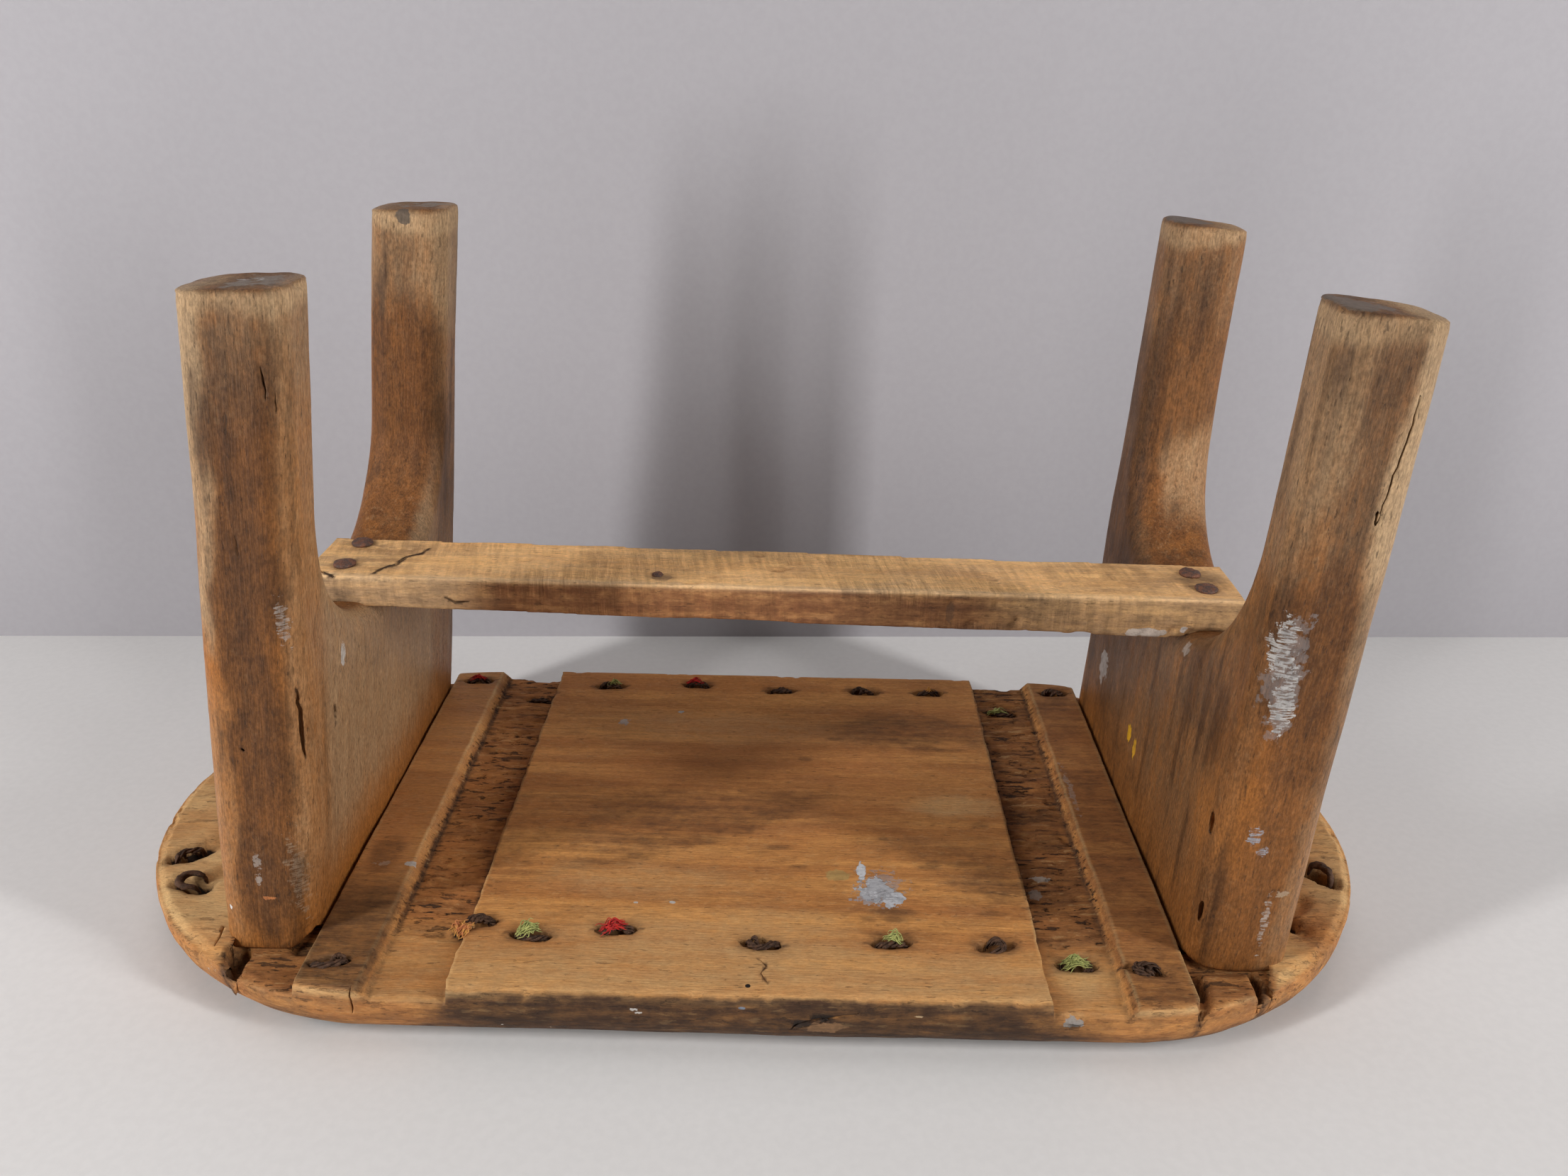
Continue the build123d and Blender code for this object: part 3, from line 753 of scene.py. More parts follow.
seatLook = {
    "grainAxis": 0, "waver": 5.0, "ring": 15.0,
    "light": (0.63, 0.29, 0.083), "mid": (0.44, 0.178, 0.049), "deep": (0.2, 0.074, 0.024),
    "warm": (0.46, 0.17, 0.05), "pale": (0.66, 0.42, 0.185),
    "dark": (0.07, 0.032, 0.015), "pit": (0.028, 0.015, 0.009),
    "grey": (0.2, 0.125, 0.08), "glow": 0.2, "smoke": 0.12,
    "streak": 0.24, "blotch": 0.3, "fibre": 0.15, "pore": 0.25,
    "mottled": 0.16, "scuffed": 0.16, "speck": 0.4, "grit": 0.13,
    "rough": 0.78, "polished": 0.48, "gloss": 0.24,
    "bump": 0.85, "fibreRelief": 0.5, "streakRelief": 0.6, "mottleRelief": 0.5,
    "spots": [
        daub((52.5, -59.5, 30), (7, 9, 4), 3.0, 7, (0.52, 0.52, 0.54), lift=0.6, rough=0.5),
        daub((58.5, -66, 30), (7, 4.5, 4), 3.2, 4.5, (0.5, 0.5, 0.52), lift=0.6, rough=0.5),
        daub((47, -47.5, 30), (2.0, 7, 4), 2.2, 4, (0.55, 0.55, 0.57), lift=0.5, rough=0.5),
        daub((50, -67, 30), (6, 2.8, 4), 3.6, 4, (0.33, 0.33, 0.35), cover=0.7),
        daub((55, -58, 30), (9, 9, 4), 4.2, 2.6, (0.3, 0.29, 0.3), cover=0.5),
        daub((125, -43.5, 24.5), (4.2, 1.8, 4), 2.4, 3, (0.4, 0.36, 0.31), cover=0.75),
        daub((121.5, -54.5, 24.5), (2.8, 4, 4), 2.8, 3, (0.36, 0.32, 0.28), cover=0.6),
        daub((150.5, 22, 29), (1.6, 22, 4), 3.6, 3, (0.4, 0.34, 0.29), cover=0.4, speckled=True),
        daub((-222, -116, 20), (16, 12, 8), 2.2, 4, (0.6, 0.52, 0.44), cover=0.6),
        daub((36.6, -51.4, 30), (5.6, 3.8, 4), 1.3, 4, (0.4, 0.3, 0.11), cover=0.6),
        daub((-71, 70.4, 30), (3.0, 2.6, 3), 3.0, 3, (0.4, 0.37, 0.35), cover=0.8),
        daub((-42.6, 81.7, 30), (1.8, 1.4, 3), 2.6, 3, (0.42, 0.4, 0.38)),
        daub((-147, -48.8, 29), (2.4, 2.0, 3), 3.0, 2.4, (0.5, 0.46, 0.42), cover=0.9),
        daub((-159, -49.2, 29), (4, 1.4, 3), 3.8, 2.4, (0.45, 0.34, 0.26), cover=0.5),
        daub((-31.8, -71.4, 30), (1.5, 0.9, 3), 1.2, 1.6, (0.5, 0.45, 0.4)),
        daub((-47, -72, 30), (1.0, 0.7, 3), 1.4, 1.6, (0.5, 0.43, 0.36)),
        daub((1.2, -118.3, 30), (1.1, 1.1, 3), 0.3, 2, (0.012, 0.008, 0.006)),
        daub((123.2, -124, 21), (3.2, 6, 2.2), 2.8, 3, (0.28, 0.3, 0.3), cover=0.7),
        daub((-0.7, -124, 25.4), (1.6, 4, 0.7), 1.2, 1.4, (0.2, 0.27, 0.36), cover=0.7),
        daub((-41.5, -126, 23), (1.4, 5, 0.9), 2.6, 1.4, (0.62, 0.58, 0.54), cover=0.8),
        daub((-39.5, -126, 21.5), (1.4, 5, 0.6), 2.6, 1.2, (0.62, 0.58, 0.54), cover=0.8),
        daub((-92, -126, 12), (0.6, 5, 0.5), 1.6, 1.0, (0.62, 0.57, 0.5)),
        daub((-74, -126, 10), (0.5, 5, 2.0), 2.0, 1.2, (0.5, 0.4, 0.29), cover=0.7),
        daub((66, -126, 23), (1.8, 5, 0.5), 2.6, 1.4, (0.6, 0.42, 0.24), cover=0.7),
        daub((31, -126, 16.5), (9, 5, 3.6), 1.5, 4, (0.3, 0.16, 0.075), cover=0.7),
    ],
}
dress(board, woodFinish("worn seat wood", seatLook))
paintTones(board, seatMarks, 71, zoneTones(readPoints(board)))
paintTorn(board, seatTorn(readPoints(board)))
finishPiece(board, "seatBoard", "seat_wood", "seat_board")
print("seat board finished")


# Leg slabs: side outline, extruded, leaned, rounded, remeshed and then worn

slabs = {
    "left": {
        "inner": ((27.5, -171.5), (284.5, -141.5)), "outer": ((27.5, -209.0), (284.5, -177.5)),
        "crotch": 136.5, "base": 23.6, "out": -1, "soleStart": 160, "soleDrop": 1.0,
        "node": "left_leg_slab", "seed": 300, "lean": 0.12, "webSheen": 0.62, "webDark": -0.3,
        "cracks": [([(-160.4, -97, 142), (-161, -97, 125), (-162, -96, 110)], (-0.375, 0.787, -0.2), 0.95, 7.0),
                   ([(-161.3, -66, 117), (-161.9, -65, 108)], (1, 0, 0), 1.1, 3.2),
                   ([(-151.4, -103, 260), (-152.6, -103, 248)], (0, 1, 0), 0.55, 3.0),
                   ([(-149.4, -102, 252), (-150.2, -102, 243)], (0, 1, 0), 0.4, 3.0),
                   ([(-170, -103, 205), (-171, -103, 192)], (0, 1, 0), 0.4, 2.5),
                   ([(-182.5, -99.6, 119), (-182.4, -99.6, 117.6)], (0, 1, 0), 0.8, 5.0)],
    },
    "right": {
        "inner": ((27.5, 173.0), (284.5, 179.5)), "outer": ((27.5, 214.5), (284.5, 214.5)),
        "crotch": 132.5, "base": 23.6, "out": 1, "soleStart": 190, "soleDrop": 2.6,
        "node": "right_leg_slab", "seed": 400, "lean": 0.013, "webSheen": 0.2, "webDark": 0.32,
        "cracks": [([(206.5, -100.5, 262), (206.8, -100.3, 250), (205.6, -100, 238), (204.4, -100, 226),
                     (202.8, -99.5, 214)], (0, 1, 0), 0.5, 5.0),
                   ([(203.2, -100, 221), (202.6, -100, 214)], (0, 1, 0), 1.0, 3.0),
                   ([(175.4, -89, 93), (175.0, -89.6, 84)], (0.6, 0.77, -0.1), 1.5, 5.0),
                   ([(175.4, -94, 55), (175.2, -95, 45)], (0.5, 0.8, -0.1), 1.2, 6.0)],
    },
}
slabShape = {
    "sole": 284.5, "frontBase": -98.0, "frontSole": -104.0, "backBase": 117.0, "backSole": 111.0,
    "gapFront": -71.0, "gapBack": 80.0, "frontRound": 68.0, "backRound": 50.0,
    "legRound": 10.5, "soleRound": 2.6, "voxel": 1.4, "foot": 27.5,
    "hewing": [((21, 21, 70), 2, 1.5), ((45, 45, 110), 2, 1.3), ((4.5, 4.5, 16), 3, 0.35)],  # cells, layers, mm
}


def arc(centre, radius, start, end, count):
    turns = np.linspace(math.radians(start), math.radians(end), count)
    return [(centre[0] + radius * math.cos(t), centre[1] + radius * math.sin(t)) for t in turns]


def slabOutline(spec):
    s = slabShape
    crotch = spec["crotch"]
    drop = (s["frontSole"] - s["frontBase"]) / (s["sole"] - s["foot"]) * (spec["base"] - s["foot"])
    points = [(s["frontBase"] + drop, spec["base"]), (s["frontSole"], s["sole"]), (s["gapFront"], s["sole"])]
    points += arc((s["gapFront"] + s["frontRound"], crotch + s["frontRound"]), s["frontRound"], 180, 270, 18)
    points += arc((s["gapBack"] - s["backRound"], crotch + s["backRound"]), s["backRound"], 270, 360, 15)
    points += [(s["gapBack"], s["sole"]), (s["backSole"], s["sole"]), (s["backBase"] + drop, spec["base"])]
    return points


def bevelWhere(obj, wanted, size, segments, clamp):
    mesh = obj.data
    for edge in mesh.edges:
        edge.select = bool(wanted(*(np.array(mesh.vertices[v].co) / mm for v in edge.vertices)))
    editMode(obj)
    bpy.ops.mesh.bevel(offset=size * mm, segments=segments, profile=0.5, clamp_overlap=clamp)
    bpy.ops.mesh.select_all(action="DESELECT")
    objectMode()


def makeSlab(side):
    spec, s = slabs[side], slabShape
    outline = slabOutline(spec)
    bpy.ops.mesh.primitive_circle_add(vertices=len(outline), radius=1, fill_type="NGON")
    obj = bpy.context.object
    yz = np.array(outline)
    writePoints(obj, np.stack([np.zeros(len(yz)), yz[:, 0], yz[:, 1]], axis=1))
    editMode(obj, "SELECT")
    bpy.ops.mesh.extrude_region_move(TRANSFORM_OT_translate={"value": (mm * 10, 0, 0)})
    objectMode()
    faceOutward(obj)
    p = readPoints(obj)
    faces = [spec["inner"], spec["outer"]] if side == "right" else [spec["outer"], spec["inner"]]
    for line, picked in zip(faces, (p[:, 0] < 5, p[:, 0] >= 5)):
        (z0, x0), (z1, x1) = line
        p[picked, 0] = x0 + (x1 - x0) * (p[picked, 2] - z0) / (z1 - z0)
    writePoints(obj, p)

    def roundedCorner(a, b):  # not the long edges through the slab, nor those round its sole and base
        level = abs(a[2] - b[2]) < 0.01 and (abs(a[2] - s["sole"]) < 0.1 or abs(a[2] - spec["base"]) < 0.1)
        return abs(a[0] - b[0]) < 33 and not level

    def soleEdge(a, b):
        return max(abs(a[2] - s["sole"]), abs(b[2] - s["sole"])) < 0.1

    editMode(obj, "DESELECT")
    bpy.ops.mesh.select_mode(type="EDGE")
    objectMode()
    bevelWhere(obj, roundedCorner, s["legRound"], 6, False)
    bevelWhere(obj, soleEdge, s["soleRound"], 3, True)
    faceOutward(obj)
    applyModifier(obj, "REMESH", mode="VOXEL", voxel_size=s["voxel"] * mm)
    wearSlab(obj, side)
    cutters = [crackCutter(*crack, spec["seed"] + k) for k, crack in enumerate(spec["cracks"])]
    cutAway(obj, cutters)
    print(side, "slab shaped", len(obj.data.vertices))
    return obj


def wearSlab(obj, side):
    spec = slabs[side]
    seed = spec["seed"]
    p, n = readPoints(obj), readNormals(obj)
    x, z = p[:, 0], p[:, 2]
    move = sum(depth * sway(p, cells, seed + k, layers)
               for k, (cells, layers, depth) in enumerate(slabShape["hewing"]))
    flank = smooth(0.3, 0.8, 1 - np.abs(n[:, 2]))
    p += n * ((move - 0.35) * flank)[:, None]
    chips = noise(p, (5, 5, 5), seed + 3, 3)
    rimmed = smooth(279, 284.3, z) * flank
    p -= n * (rimmed * (0.3 + 2.2 * smooth(0.5, 0.75, chips)))[:, None]
    p[:, 2] -= smooth(282, 284.6, z) * (0.4 + 1.3 * (noise(p, (12, 12, 400), seed + 4, 3)))
    tilt = np.clip((spec["out"] * x - spec["soleStart"]) / 24, -0.3, 1)
    p[:, 2] -= tilt * spec["soleDrop"] * smooth(240, 284, z)
    foot = fade(26, 35, p[:, 2]) * smooth(-82, -90, p[:, 1])  # chipped and rounded under the front legs
    if side == "left":
        p[:, 2] += foot * 5.5 * smooth(-182, -172, p[:, 0])
    else:
        p[:, 2] += foot * 3.2 * np.clip(np.abs(p[:, 0] - 195) / 20, 0, 1.1) ** 2
    _, way, far = outward(p)  # no slab stands out past the rim of the seat
    p[:, :2] -= way * np.clip(far - (seat["endRadius"] - 1.3), 0, None)[:, None]
    writePoints(obj, p)


def slabTones(p, side):
    spec = slabs[side]
    (z0, x0), (z1, x1) = spec["inner"]
    outerFoot, outerSole = (end[1] for end in spec["outer"])
    x, y, z = p.T
    share = (z - z0) / (z1 - z0)
    innerFace, outerFace = x0 + (x1 - x0) * share, outerFoot + (outerSole - outerFoot) * share
    depth = (x - innerFace) * spec["out"]  # how far out from the inner face
    across = (x - (innerFace + outerFace) / 2) / (np.abs(outerFace - innerFace) / 2)
    straight = np.stack([across * 19, y, z], axis=1)
    wobble = noise(straight, (24, 24, 40), spec["seed"] + 11, 4)
    streaky = noise(straight, (6, 6, 60), spec["seed"] + 12, 4)
    patchy = sway(straight, (7, 9, 20), spec["seed"] + 13, 4)
    inner = fade(3, 9, depth)
    outer = smooth(24, 34, depth)
    level = z + 46 * (wobble - 0.5) + 16 * patchy

    def band(centre, half, soft=0.3):  # a soft band of the leg's width, ragged along its length
        off = np.abs(across + 0.6 * patchy + 0.25 * (wobble - 0.5) - centre)
        return fade(half, half + soft, off)

    def reach(low, high, soft=14):
        return smooth(low - soft, low + soft, level) * fade(high - soft, high + soft, level)

    front, back = smooth(-66, -82, y), smooth(62, 78, y)
    tones = np.zeros((len(p), 4))
    dark, pale, warm, polish = tones.T
    for leg, place in (("front", front), ("back", back)):
        for tone, column in (("dark", dark), ("pale", pale), ("warm", warm)):
            for centre, half, low, high, amount in legBands[side][leg].get(tone, []):
                column += amount * place * band(centre, half) * reach(low, high)
    sole = smooth(281.4, 283.4, z + 1.5 * (wobble - 0.5))
    cap = smooth(272, 278, z + 12 * (wobble - 0.5)) * (1 - sole)
    web = (1 - front) * (1 - back) + inner * (front + back) * 0.5
    # a pale painted sheen over the inner face of the web; a negative webDark lightens it further
    pale += 0.5 * cap + spec["webSheen"] * inner * web * smooth(30, 70, z)
    dark += 0.45 * smooth(0.56, 0.74, streaky) * (1 - cap) + 0.3 * sole + spec["webDark"] * inner * web
    warm += 0.5 * smooth(90, 30, z) + 0.2 * outer + 0.15 * wobble
    polish += 0.35 + 0.3 * inner + 0.35 * outer - 0.25 * cap
    np.clip(dark, 0, 0.7, out=dark)
    return np.clip(tones, 0, 1)


# middle and half width across the leg, from -1 at the left to 1, lowest and highest level, strength
legBands = {
    "left": {
        "front": {
            "dark": [(0.15, 0.42, 40, 262, 0.3), (0.1, 0.62, 30, 250, 0.2), (0, 0.3, 120, 215, 0.25),
                     (0.45, 0.25, 95, 150, 0.2), (0.2, 0.5, 20, 75, 0.4), (0.05, 0.6, 222, 274, 0.38)],
            # the narrow pale band at -0.7 from 165 to 290 is pale wood with a painted highlight along the
            # polished left edge
            "pale": [(-0.8, 0.25, 20, 135, 0.2), (-0.7, 0.08, 165, 290, 0.8), (-0.75, 0.3, 240, 290, 0.22),
                     (0.5, 0.5, 258, 290, 0.15), (-0.2, 0.6, 250, 290, 0.15)],
            "warm": [(-0.7, 0.3, 20, 180, 0.3), (-0.75, 0.45, 20, 235, 0.7), (0.6, 0.35, 60, 250, 0.6)],
        },
        "back": {
            "dark": [(-0.2, 0.35, 235, 275, 0.35), (0, 0.8, 168, 236, 0.55), (0.7, 0.2, 120, 230, 0.2),
                     (0, 0.9, 110, 172, 0.25)],
            "pale": [(0, 1, 236, 290, 0.42)],
            "warm": [(0, 1, 140, 232, 0.45)],
        },
    },
    "right": {
        "front": {
            "dark": [(0.05, 0.22, 195, 276, 0.5), (0, 0.9, 262, 288, 0.16), (-0.3, 0.4, 138, 196, 0.54),
                     (0.3, 0.5, 108, 190, 0.52), (0, 0.7, 24, 100, 0.32)],
            # the narrow pale band at 0.74 from 150 to 290 is pale wood with a painted highlight along the
            # polished right edge
            "pale": [(-0.1, 1.1, 196, 290, 0.26), (0.74, 0.16, 150, 290, 0.7), (-0.7, 0.25, 225, 290, 0.25),
                     (0.8, 0.15, 30, 150, 0.35)],
            "warm": [(0.1, 0.9, 60, 190, 0.45), (-0.75, 0.2, 70, 105, 0.7)],
        },
        "back": {
            "dark": [(-0.1, 0.4, 235, 272, 0.45), (0, 0.8, 196, 242, 0.42), (-0.85, 0.25, 60, 250, 0.25)],
            "pale": [(0.1, 1, 240, 290, 0.18), (0, 0.9, 180, 240, 0.1), (0.35, 0.5, 130, 196, 0.5)],
            "warm": [(0.2, 0.8, 150, 240, 0.42)],
        },
    },
}
slabMarks = {
    "left": {
        "dark": [((-168, -60, 155), (10, 40, 40), 0.2), ((-165, 30, 120), (14, 90, 30), 0.22),
                 ((-160, 92, 150), (24, 22, 20), 0.3)],
        "warm": [((-170, -40, 40), (14, 80, 26), 0.6)],
    },
    "right": {
        "dark": [((178, -92, 168), (16, 16, 36), 0.25), ((176, -60, 125), (8, 44, 26), 0.3),
                 ((176, 70, 110), (8, 60, 90), 0.3), ((176, 55, 122), (8, 60, 24), 0.4),
                 ((180, 40, 45), (10, 70, 24), 0.35)],
        "pale": [((176, 0, 120), (8, 60, 16), 0.15)],
        "warm": [((175, -78, 89), (8, 16, 18), 0.7)],
    },
}
slabLook = {
    "grainAxis": 2, "waver": 3.0, "ring": 9.0,
    "light": (0.25, 0.1, 0.029), "mid": (0.168, 0.062, 0.018), "deep": (0.084, 0.031, 0.011),
    "warm": (0.37, 0.136, 0.029), "pale": (0.465, 0.305, 0.165),
    "dark": (0.064, 0.028, 0.012), "pit": (0.028, 0.016, 0.01),
    "grey": (0.125, 0.062, 0.03), "glow": 0.35, "smoke": 0.25,
    "streak": 0.34, "blotch": 0.4, "fibre": 0.22, "pore": 0.3,
    "mottled": 0.42, "scuffed": 0.22, "speck": 0.5, "grit": 0.3,
    "rough": 0.7, "polished": 0.32, "gloss": 0.17,
    "bump": 0.95, "fibreRelief": 0.55, "streakRelief": 0.6, "mottleRelief": 0.6,
}
whitish, cream, chalk = (0.5, 0.45, 0.4), (0.46, 0.36, 0.25), (0.5, 0.47, 0.44)
slabSpots = {
    "left": [
        daub((-159, -55.4, 134), (3, 2.2, 5), 3.0, 3, whitish),
        daub((-160.5, -98, 170), (1.8, 6, 9), 3.6, 2.6, whitish, cover=0.5, speckled=True),
        daub((-185, -98, 50), (3.0, 5, 0.8), 3.0, 2, (0.5, 0.18, 0.06), cover=0.8),
        daub((-186.2, -98, 67.7), (1.6, 5, 3.4), 3.6, 1.8, whitish, cover=0.4),
        daub((-187.2, -98, 59), (1.2, 5, 2.6), 3.6, 1.6, whitish, cover=0.45),
        daub((-201.5, -96, 43.4), (0.8, 2, 1.2), 1.6, 2, (0.7, 0.68, 0.66)),
        daub((-172, -98, 58), (3.4, 6, 22), 3.8, 3, cream, cover=0.28, speckled=True),
        daub((-160.5, 80, 281), (3.4, 4, 4.6), 1.0, 3, (0.1, 0.08, 0.065), cover=0.85),
        daub((-182, 80, 138), (9, 12, 12), 3.0, 5, (0.07, 0.055, 0.045), cover=0.7),
        daub((-160, -88, 285), (21, 19, 1.8), 1.2, 6, (0.195, 0.157, 0.124), cover=0.85, rough=0.45),
        daub((-160, 96, 285), (21, 17, 1.8), 1.2, 6, (0.195, 0.157, 0.124), cover=0.85, rough=0.45),
        daub((-158, -85, 285), (5, 3, 2), 3.0, 4, chalk, cover=0.8),
    ],
    "right": [
        daub((183.4, -95, 168), (4.2, 14, 13), 2.4, 3, chalk, speckled=True, rough=0.6),
        daub((187, -96, 148), (4.4, 14, 15), 2.4, 3, chalk, speckled=True, rough=0.6),
        daub((186, -96, 157), (6, 14, 26), 2.6, 5, (0.3, 0.29, 0.29), cover=0.35),
        daub((188, -96, 90), (2.6, 10, 4.4), 3.2, 2.4, (0.36, 0.38, 0.42), speckled=True, cover=0.8),
        daub((192, -96, 83), (2.6, 10, 2.0), 3.2, 2.4, (0.36, 0.38, 0.42), speckled=True, cover=0.7),
        daub((199, -99, 50), (1.4, 6, 12), 3.6, 2.4, whitish, speckled=True, cover=0.6),
        daub((203, -99, 63), (2.8, 6, 1.6), 2.8, 2.4, cream, cover=0.6),
        daub((174, 17, 62.5), (3, 2.6, 4.5), 1.8, 3, (0.62, 0.33, 0.02)),
        daub((174, 8, 60), (3, 2.0, 5.5), 2.2, 3, (0.6, 0.32, 0.03)),
        daub((174, 75, 67), (3, 6, 9), 2.6, 5, chalk, cover=0.6),
        daub((176, -28, 130), (6, 3.5, 3), 3.2, 2.6, whitish, cover=0.45),
        daub((197, -88, 285), (22, 19, 2.6), 1.2, 6, (0.13, 0.096, 0.07), cover=0.85, rough=0.45),
        daub((197, 96, 285), (22, 17, 2.6), 1.2, 6, (0.13, 0.096, 0.07), cover=0.85, rough=0.45),
    ],
}
for side in ("left", "right"):
    slab = makeSlab(side)
    look = {**slabLook, "lean": slabs[side]["lean"], "spots": slabSpots[side]}
    dress(slab, woodFinish(side + " slab wood", look))
    tones = slabTones(readPoints(slab), side)
    atLeast(tones[:, 0], crackShade(readPoints(slab), slabs[side]["cracks"]))
    paintTones(slab, slabMarks[side], 81, tones)
    finishPiece(slab, side + "LegSlab", "slab_wood", slabs[side]["node"])
print("leg slabs finished")


# Stretcher: a sawn batten nailed across the two crotches

batten = {
    "left": -189.0, "right": 200.5, "top": 149.5,
    "bottom": (135.5, 131.5), "leftEdges": (-15.5, 25.5), "rightEdges": (-21.5, 14.5), "voxel": 1.15,
    "cracks": [([(-160, -12.5, 149.8), (-158, -7, 149.8), (-153, -3, 149.8), (-151.5, 5, 149.8),
                 (-146, 9, 149.8), (-144.5, 15, 149.8)], (0, 0, 1), 0.75, 4.0),
               ([(-130, -16.4, 141), (-126, -16.4, 138.6), (-120, -16.6, 139.4)], (0, 1, 0), 0.35, 2.5),
               ([(-188, -8, 149.6), (-183, -10, 149.8), (-180, -13, 149.8), (-176, -15.5, 149.0)],
                (0, 0, 1), 0.6, 4.0)],
}


def makeStretcher():
    b = batten
    bpy.ops.mesh.primitive_cube_add(size=2)
    obj = bpy.context.object
    p = readPoints(obj) * mm
    atLeft = p[:, 0] < 0
    p[:, 2] = np.where(p[:, 2] > 0, b["top"], np.where(atLeft, b["bottom"][0], b["bottom"][1]))
    p[:, 1] = np.where(p[:, 1] < 0, np.where(atLeft, b["leftEdges"][0], b["rightEdges"][0]),
                       np.where(atLeft, b["leftEdges"][1], b["rightEdges"][1]))
    p[:, 0] = np.where(atLeft, b["left"], b["right"])
    writePoints(obj, p)
    applyModifier(obj, "REMESH", mode="VOXEL", voxel_size=b["voxel"] * mm)
    p, n = readPoints(obj), readNormals(obj)
    saw = sway(p, (1.7, 60, 60), 501, 2)
    slow = sway(p, (38, 25, 25), 502)
    dents = noise(p, (9, 5, 5), 503, 3)
    p += n * (0.3 * saw + 1.1 * slow - 0.2 - 0.9 * smooth(0.68, 0.85, dents))[:, None]
    frayed = fade(1.0, 4.0, np.abs(p[:, 2] - 133)) * smooth(150, 165, p[:, 0]) * fade(190, 199, p[:, 0])
    p[:, 1] += np.where(p[:, 1] < -5, frayed * 3.0 * smooth(0.4, 0.7, noise(p, (6, 6, 6), 504, 2)), 0)
    writePoints(obj, p)
    cutAway(obj, [crackCutter(*crack, 510 + k) for k, crack in enumerate(b["cracks"])])
    return obj


def stretcherTones(p):
    x, y, z = p.T
    tones = np.zeros((len(p), 4))
    dark, pale, warm, _ = tones.T
    wobble = noise(p, (30, 12, 12), 521, 4)
    shifted = x + 30 * (wobble - 0.5)
    top = smooth(147.5, 149, z)
    front = fade(-13.5, -11.5, y - np.interp(x, (-189, 200.5), (0, -6)))
    middle = smooth(-132, -104, shifted) * fade(88, 122, shifted)
    arris = smooth(147.2, 148.6, z) * front
    flank = 1 - top
    pale += top * np.clip(0.1 + 0.5 * (wobble - 0.45), 0, 1) + 0.35 * arris
    pale += flank * (1 - middle) * (0.3 + 0.25 * smooth(40, -60, x))
    dark += flank * (0.2 + 0.25 * wobble + 0.2 * smooth(0, 60, x) + 0.25 * fade(-176, -160, x))
    warm += 0.05 + flank * middle * 0.8
    atLeast(dark, crackShade(p, batten["cracks"]))
    return np.clip(tones, 0, 1)


stretcherMarks = {
    "dark": [((-175, -4, 150), (9, 8, 5), 0.5), ((-175, 19, 150), (9, 8, 5), 0.5),
             ((186, -3, 150), (16, 16, 5), 0.45), ((-41, -8, 150), (8, 6, 5), 0.4),
             ((160, 0, 150), (50, 20, 6), 0.26), ((-166, 5, 150), (34, 26, 6), 0.24)],
}
stretcherLook = {
    "grainAxis": 0, "waver": 3.0, "ring": 9.0,
    "light": (0.97, 0.57, 0.23), "mid": (0.86, 0.47, 0.178), "deep": (0.5, 0.225, 0.08),
    "warm": (0.27, 0.095, 0.034), "pale": (0.66, 0.47, 0.29),
    "dark": (0.09, 0.048, 0.026), "pit": (0.03, 0.018, 0.012),
    "grey": (0.3, 0.2, 0.13), "glow": 0.1, "smoke": 0.15,
    "streak": 0.26, "blotch": 0.2, "fibre": 0.1, "pore": 0.3,
    "mottled": 0.15, "scuffed": 0.2, "speck": 0.4, "grit": 0.14,
    "rough": 0.8, "polished": 0.5, "gloss": 0.22,
    "bump": 0.8, "fibreRelief": 0.5, "streakRelief": 0.5, "mottleRelief": 0.5,
    "saw": 0.21,
    "spots": [
        daub((161, -20, 134), (9, 6, 2.2), 1.8, 4, (0.52, 0.44, 0.38), cover=0.9, lift=0.5),
        daub((177, -20, 135.5), (1.6, 6, 1.8), 1.4, 2, (0.62, 0.55, 0.5)),
        daub((-40, -9.5, 149), (4.5, 3.6, 3), 1.2, 3, (0.14, 0.085, 0.055), cover=0.5),
        daub((80, -18, 141), (2.0, 5, 5), 2.2, 3, (0.1, 0.06, 0.04), cover=0.5),
    ],
}
stretcher = makeStretcher()
dress(stretcher, woodFinish("sawn batten wood", stretcherLook))
paintTones(stretcher, stretcherMarks, 531, stretcherTones(readPoints(stretcher)))
finishPiece(stretcher, "stretcher", "stretcher_wood", "stretcher")
print("stretcher finished")


# Nails, thongs and wool

nailShape = {
    "radius": 4.75, "depth": 2.6, "corners": 28, "pinRadius": 2.6, "sink": 0.3, "pinSink": 1.3,
    "rim": 0.5, "dome": 1.5, "domeReach": 5.4, "under": -0.6, "ring": 0.95,
}
nails = {  # x, y, turn
    "leftFrontNail": (-174.8, -4.0, 10), "leftBackNail": (-174.8, 19.0, 150),
    "rightFrontNail": (187.0, -10.5, 75), "rightBackNail": (184.7, 5.0, 230),
}


def makeNail():
    s = nailShape
    bpy.ops.mesh.primitive_cylinder_add(vertices=s["corners"], radius=s["radius"] * mm, depth=s["depth"] * mm)
    obj = bpy.context.object
    editMode(obj, "DESELECT")
    bpy.ops.mesh.select_mode(type="FACE")
    objectMode()
    for face in obj.data.polygons:
        face.select = face.normal.z > 0.9
    editMode(obj)
    for _ in range(4):
        bpy.ops.mesh.inset(thickness=s["ring"] * mm)
    bpy.ops.mesh.select_all(action="SELECT")
    objectMode()
    p = readPoints(obj)
    far = np.hypot(p[:, 0], p[:, 1])
    up = p[:, 2] > 0
    dome = np.sqrt(np.clip(1 - (far / s["domeReach"]) ** 2, 0, 1))
    p[:, 2] = np.where(up, s["rim"] + s["dome"] * dome, s["under"])
    writePoints(obj, p)
    applyModifier(obj, "SUBSURF", levels=2, render_levels=2)
    return obj


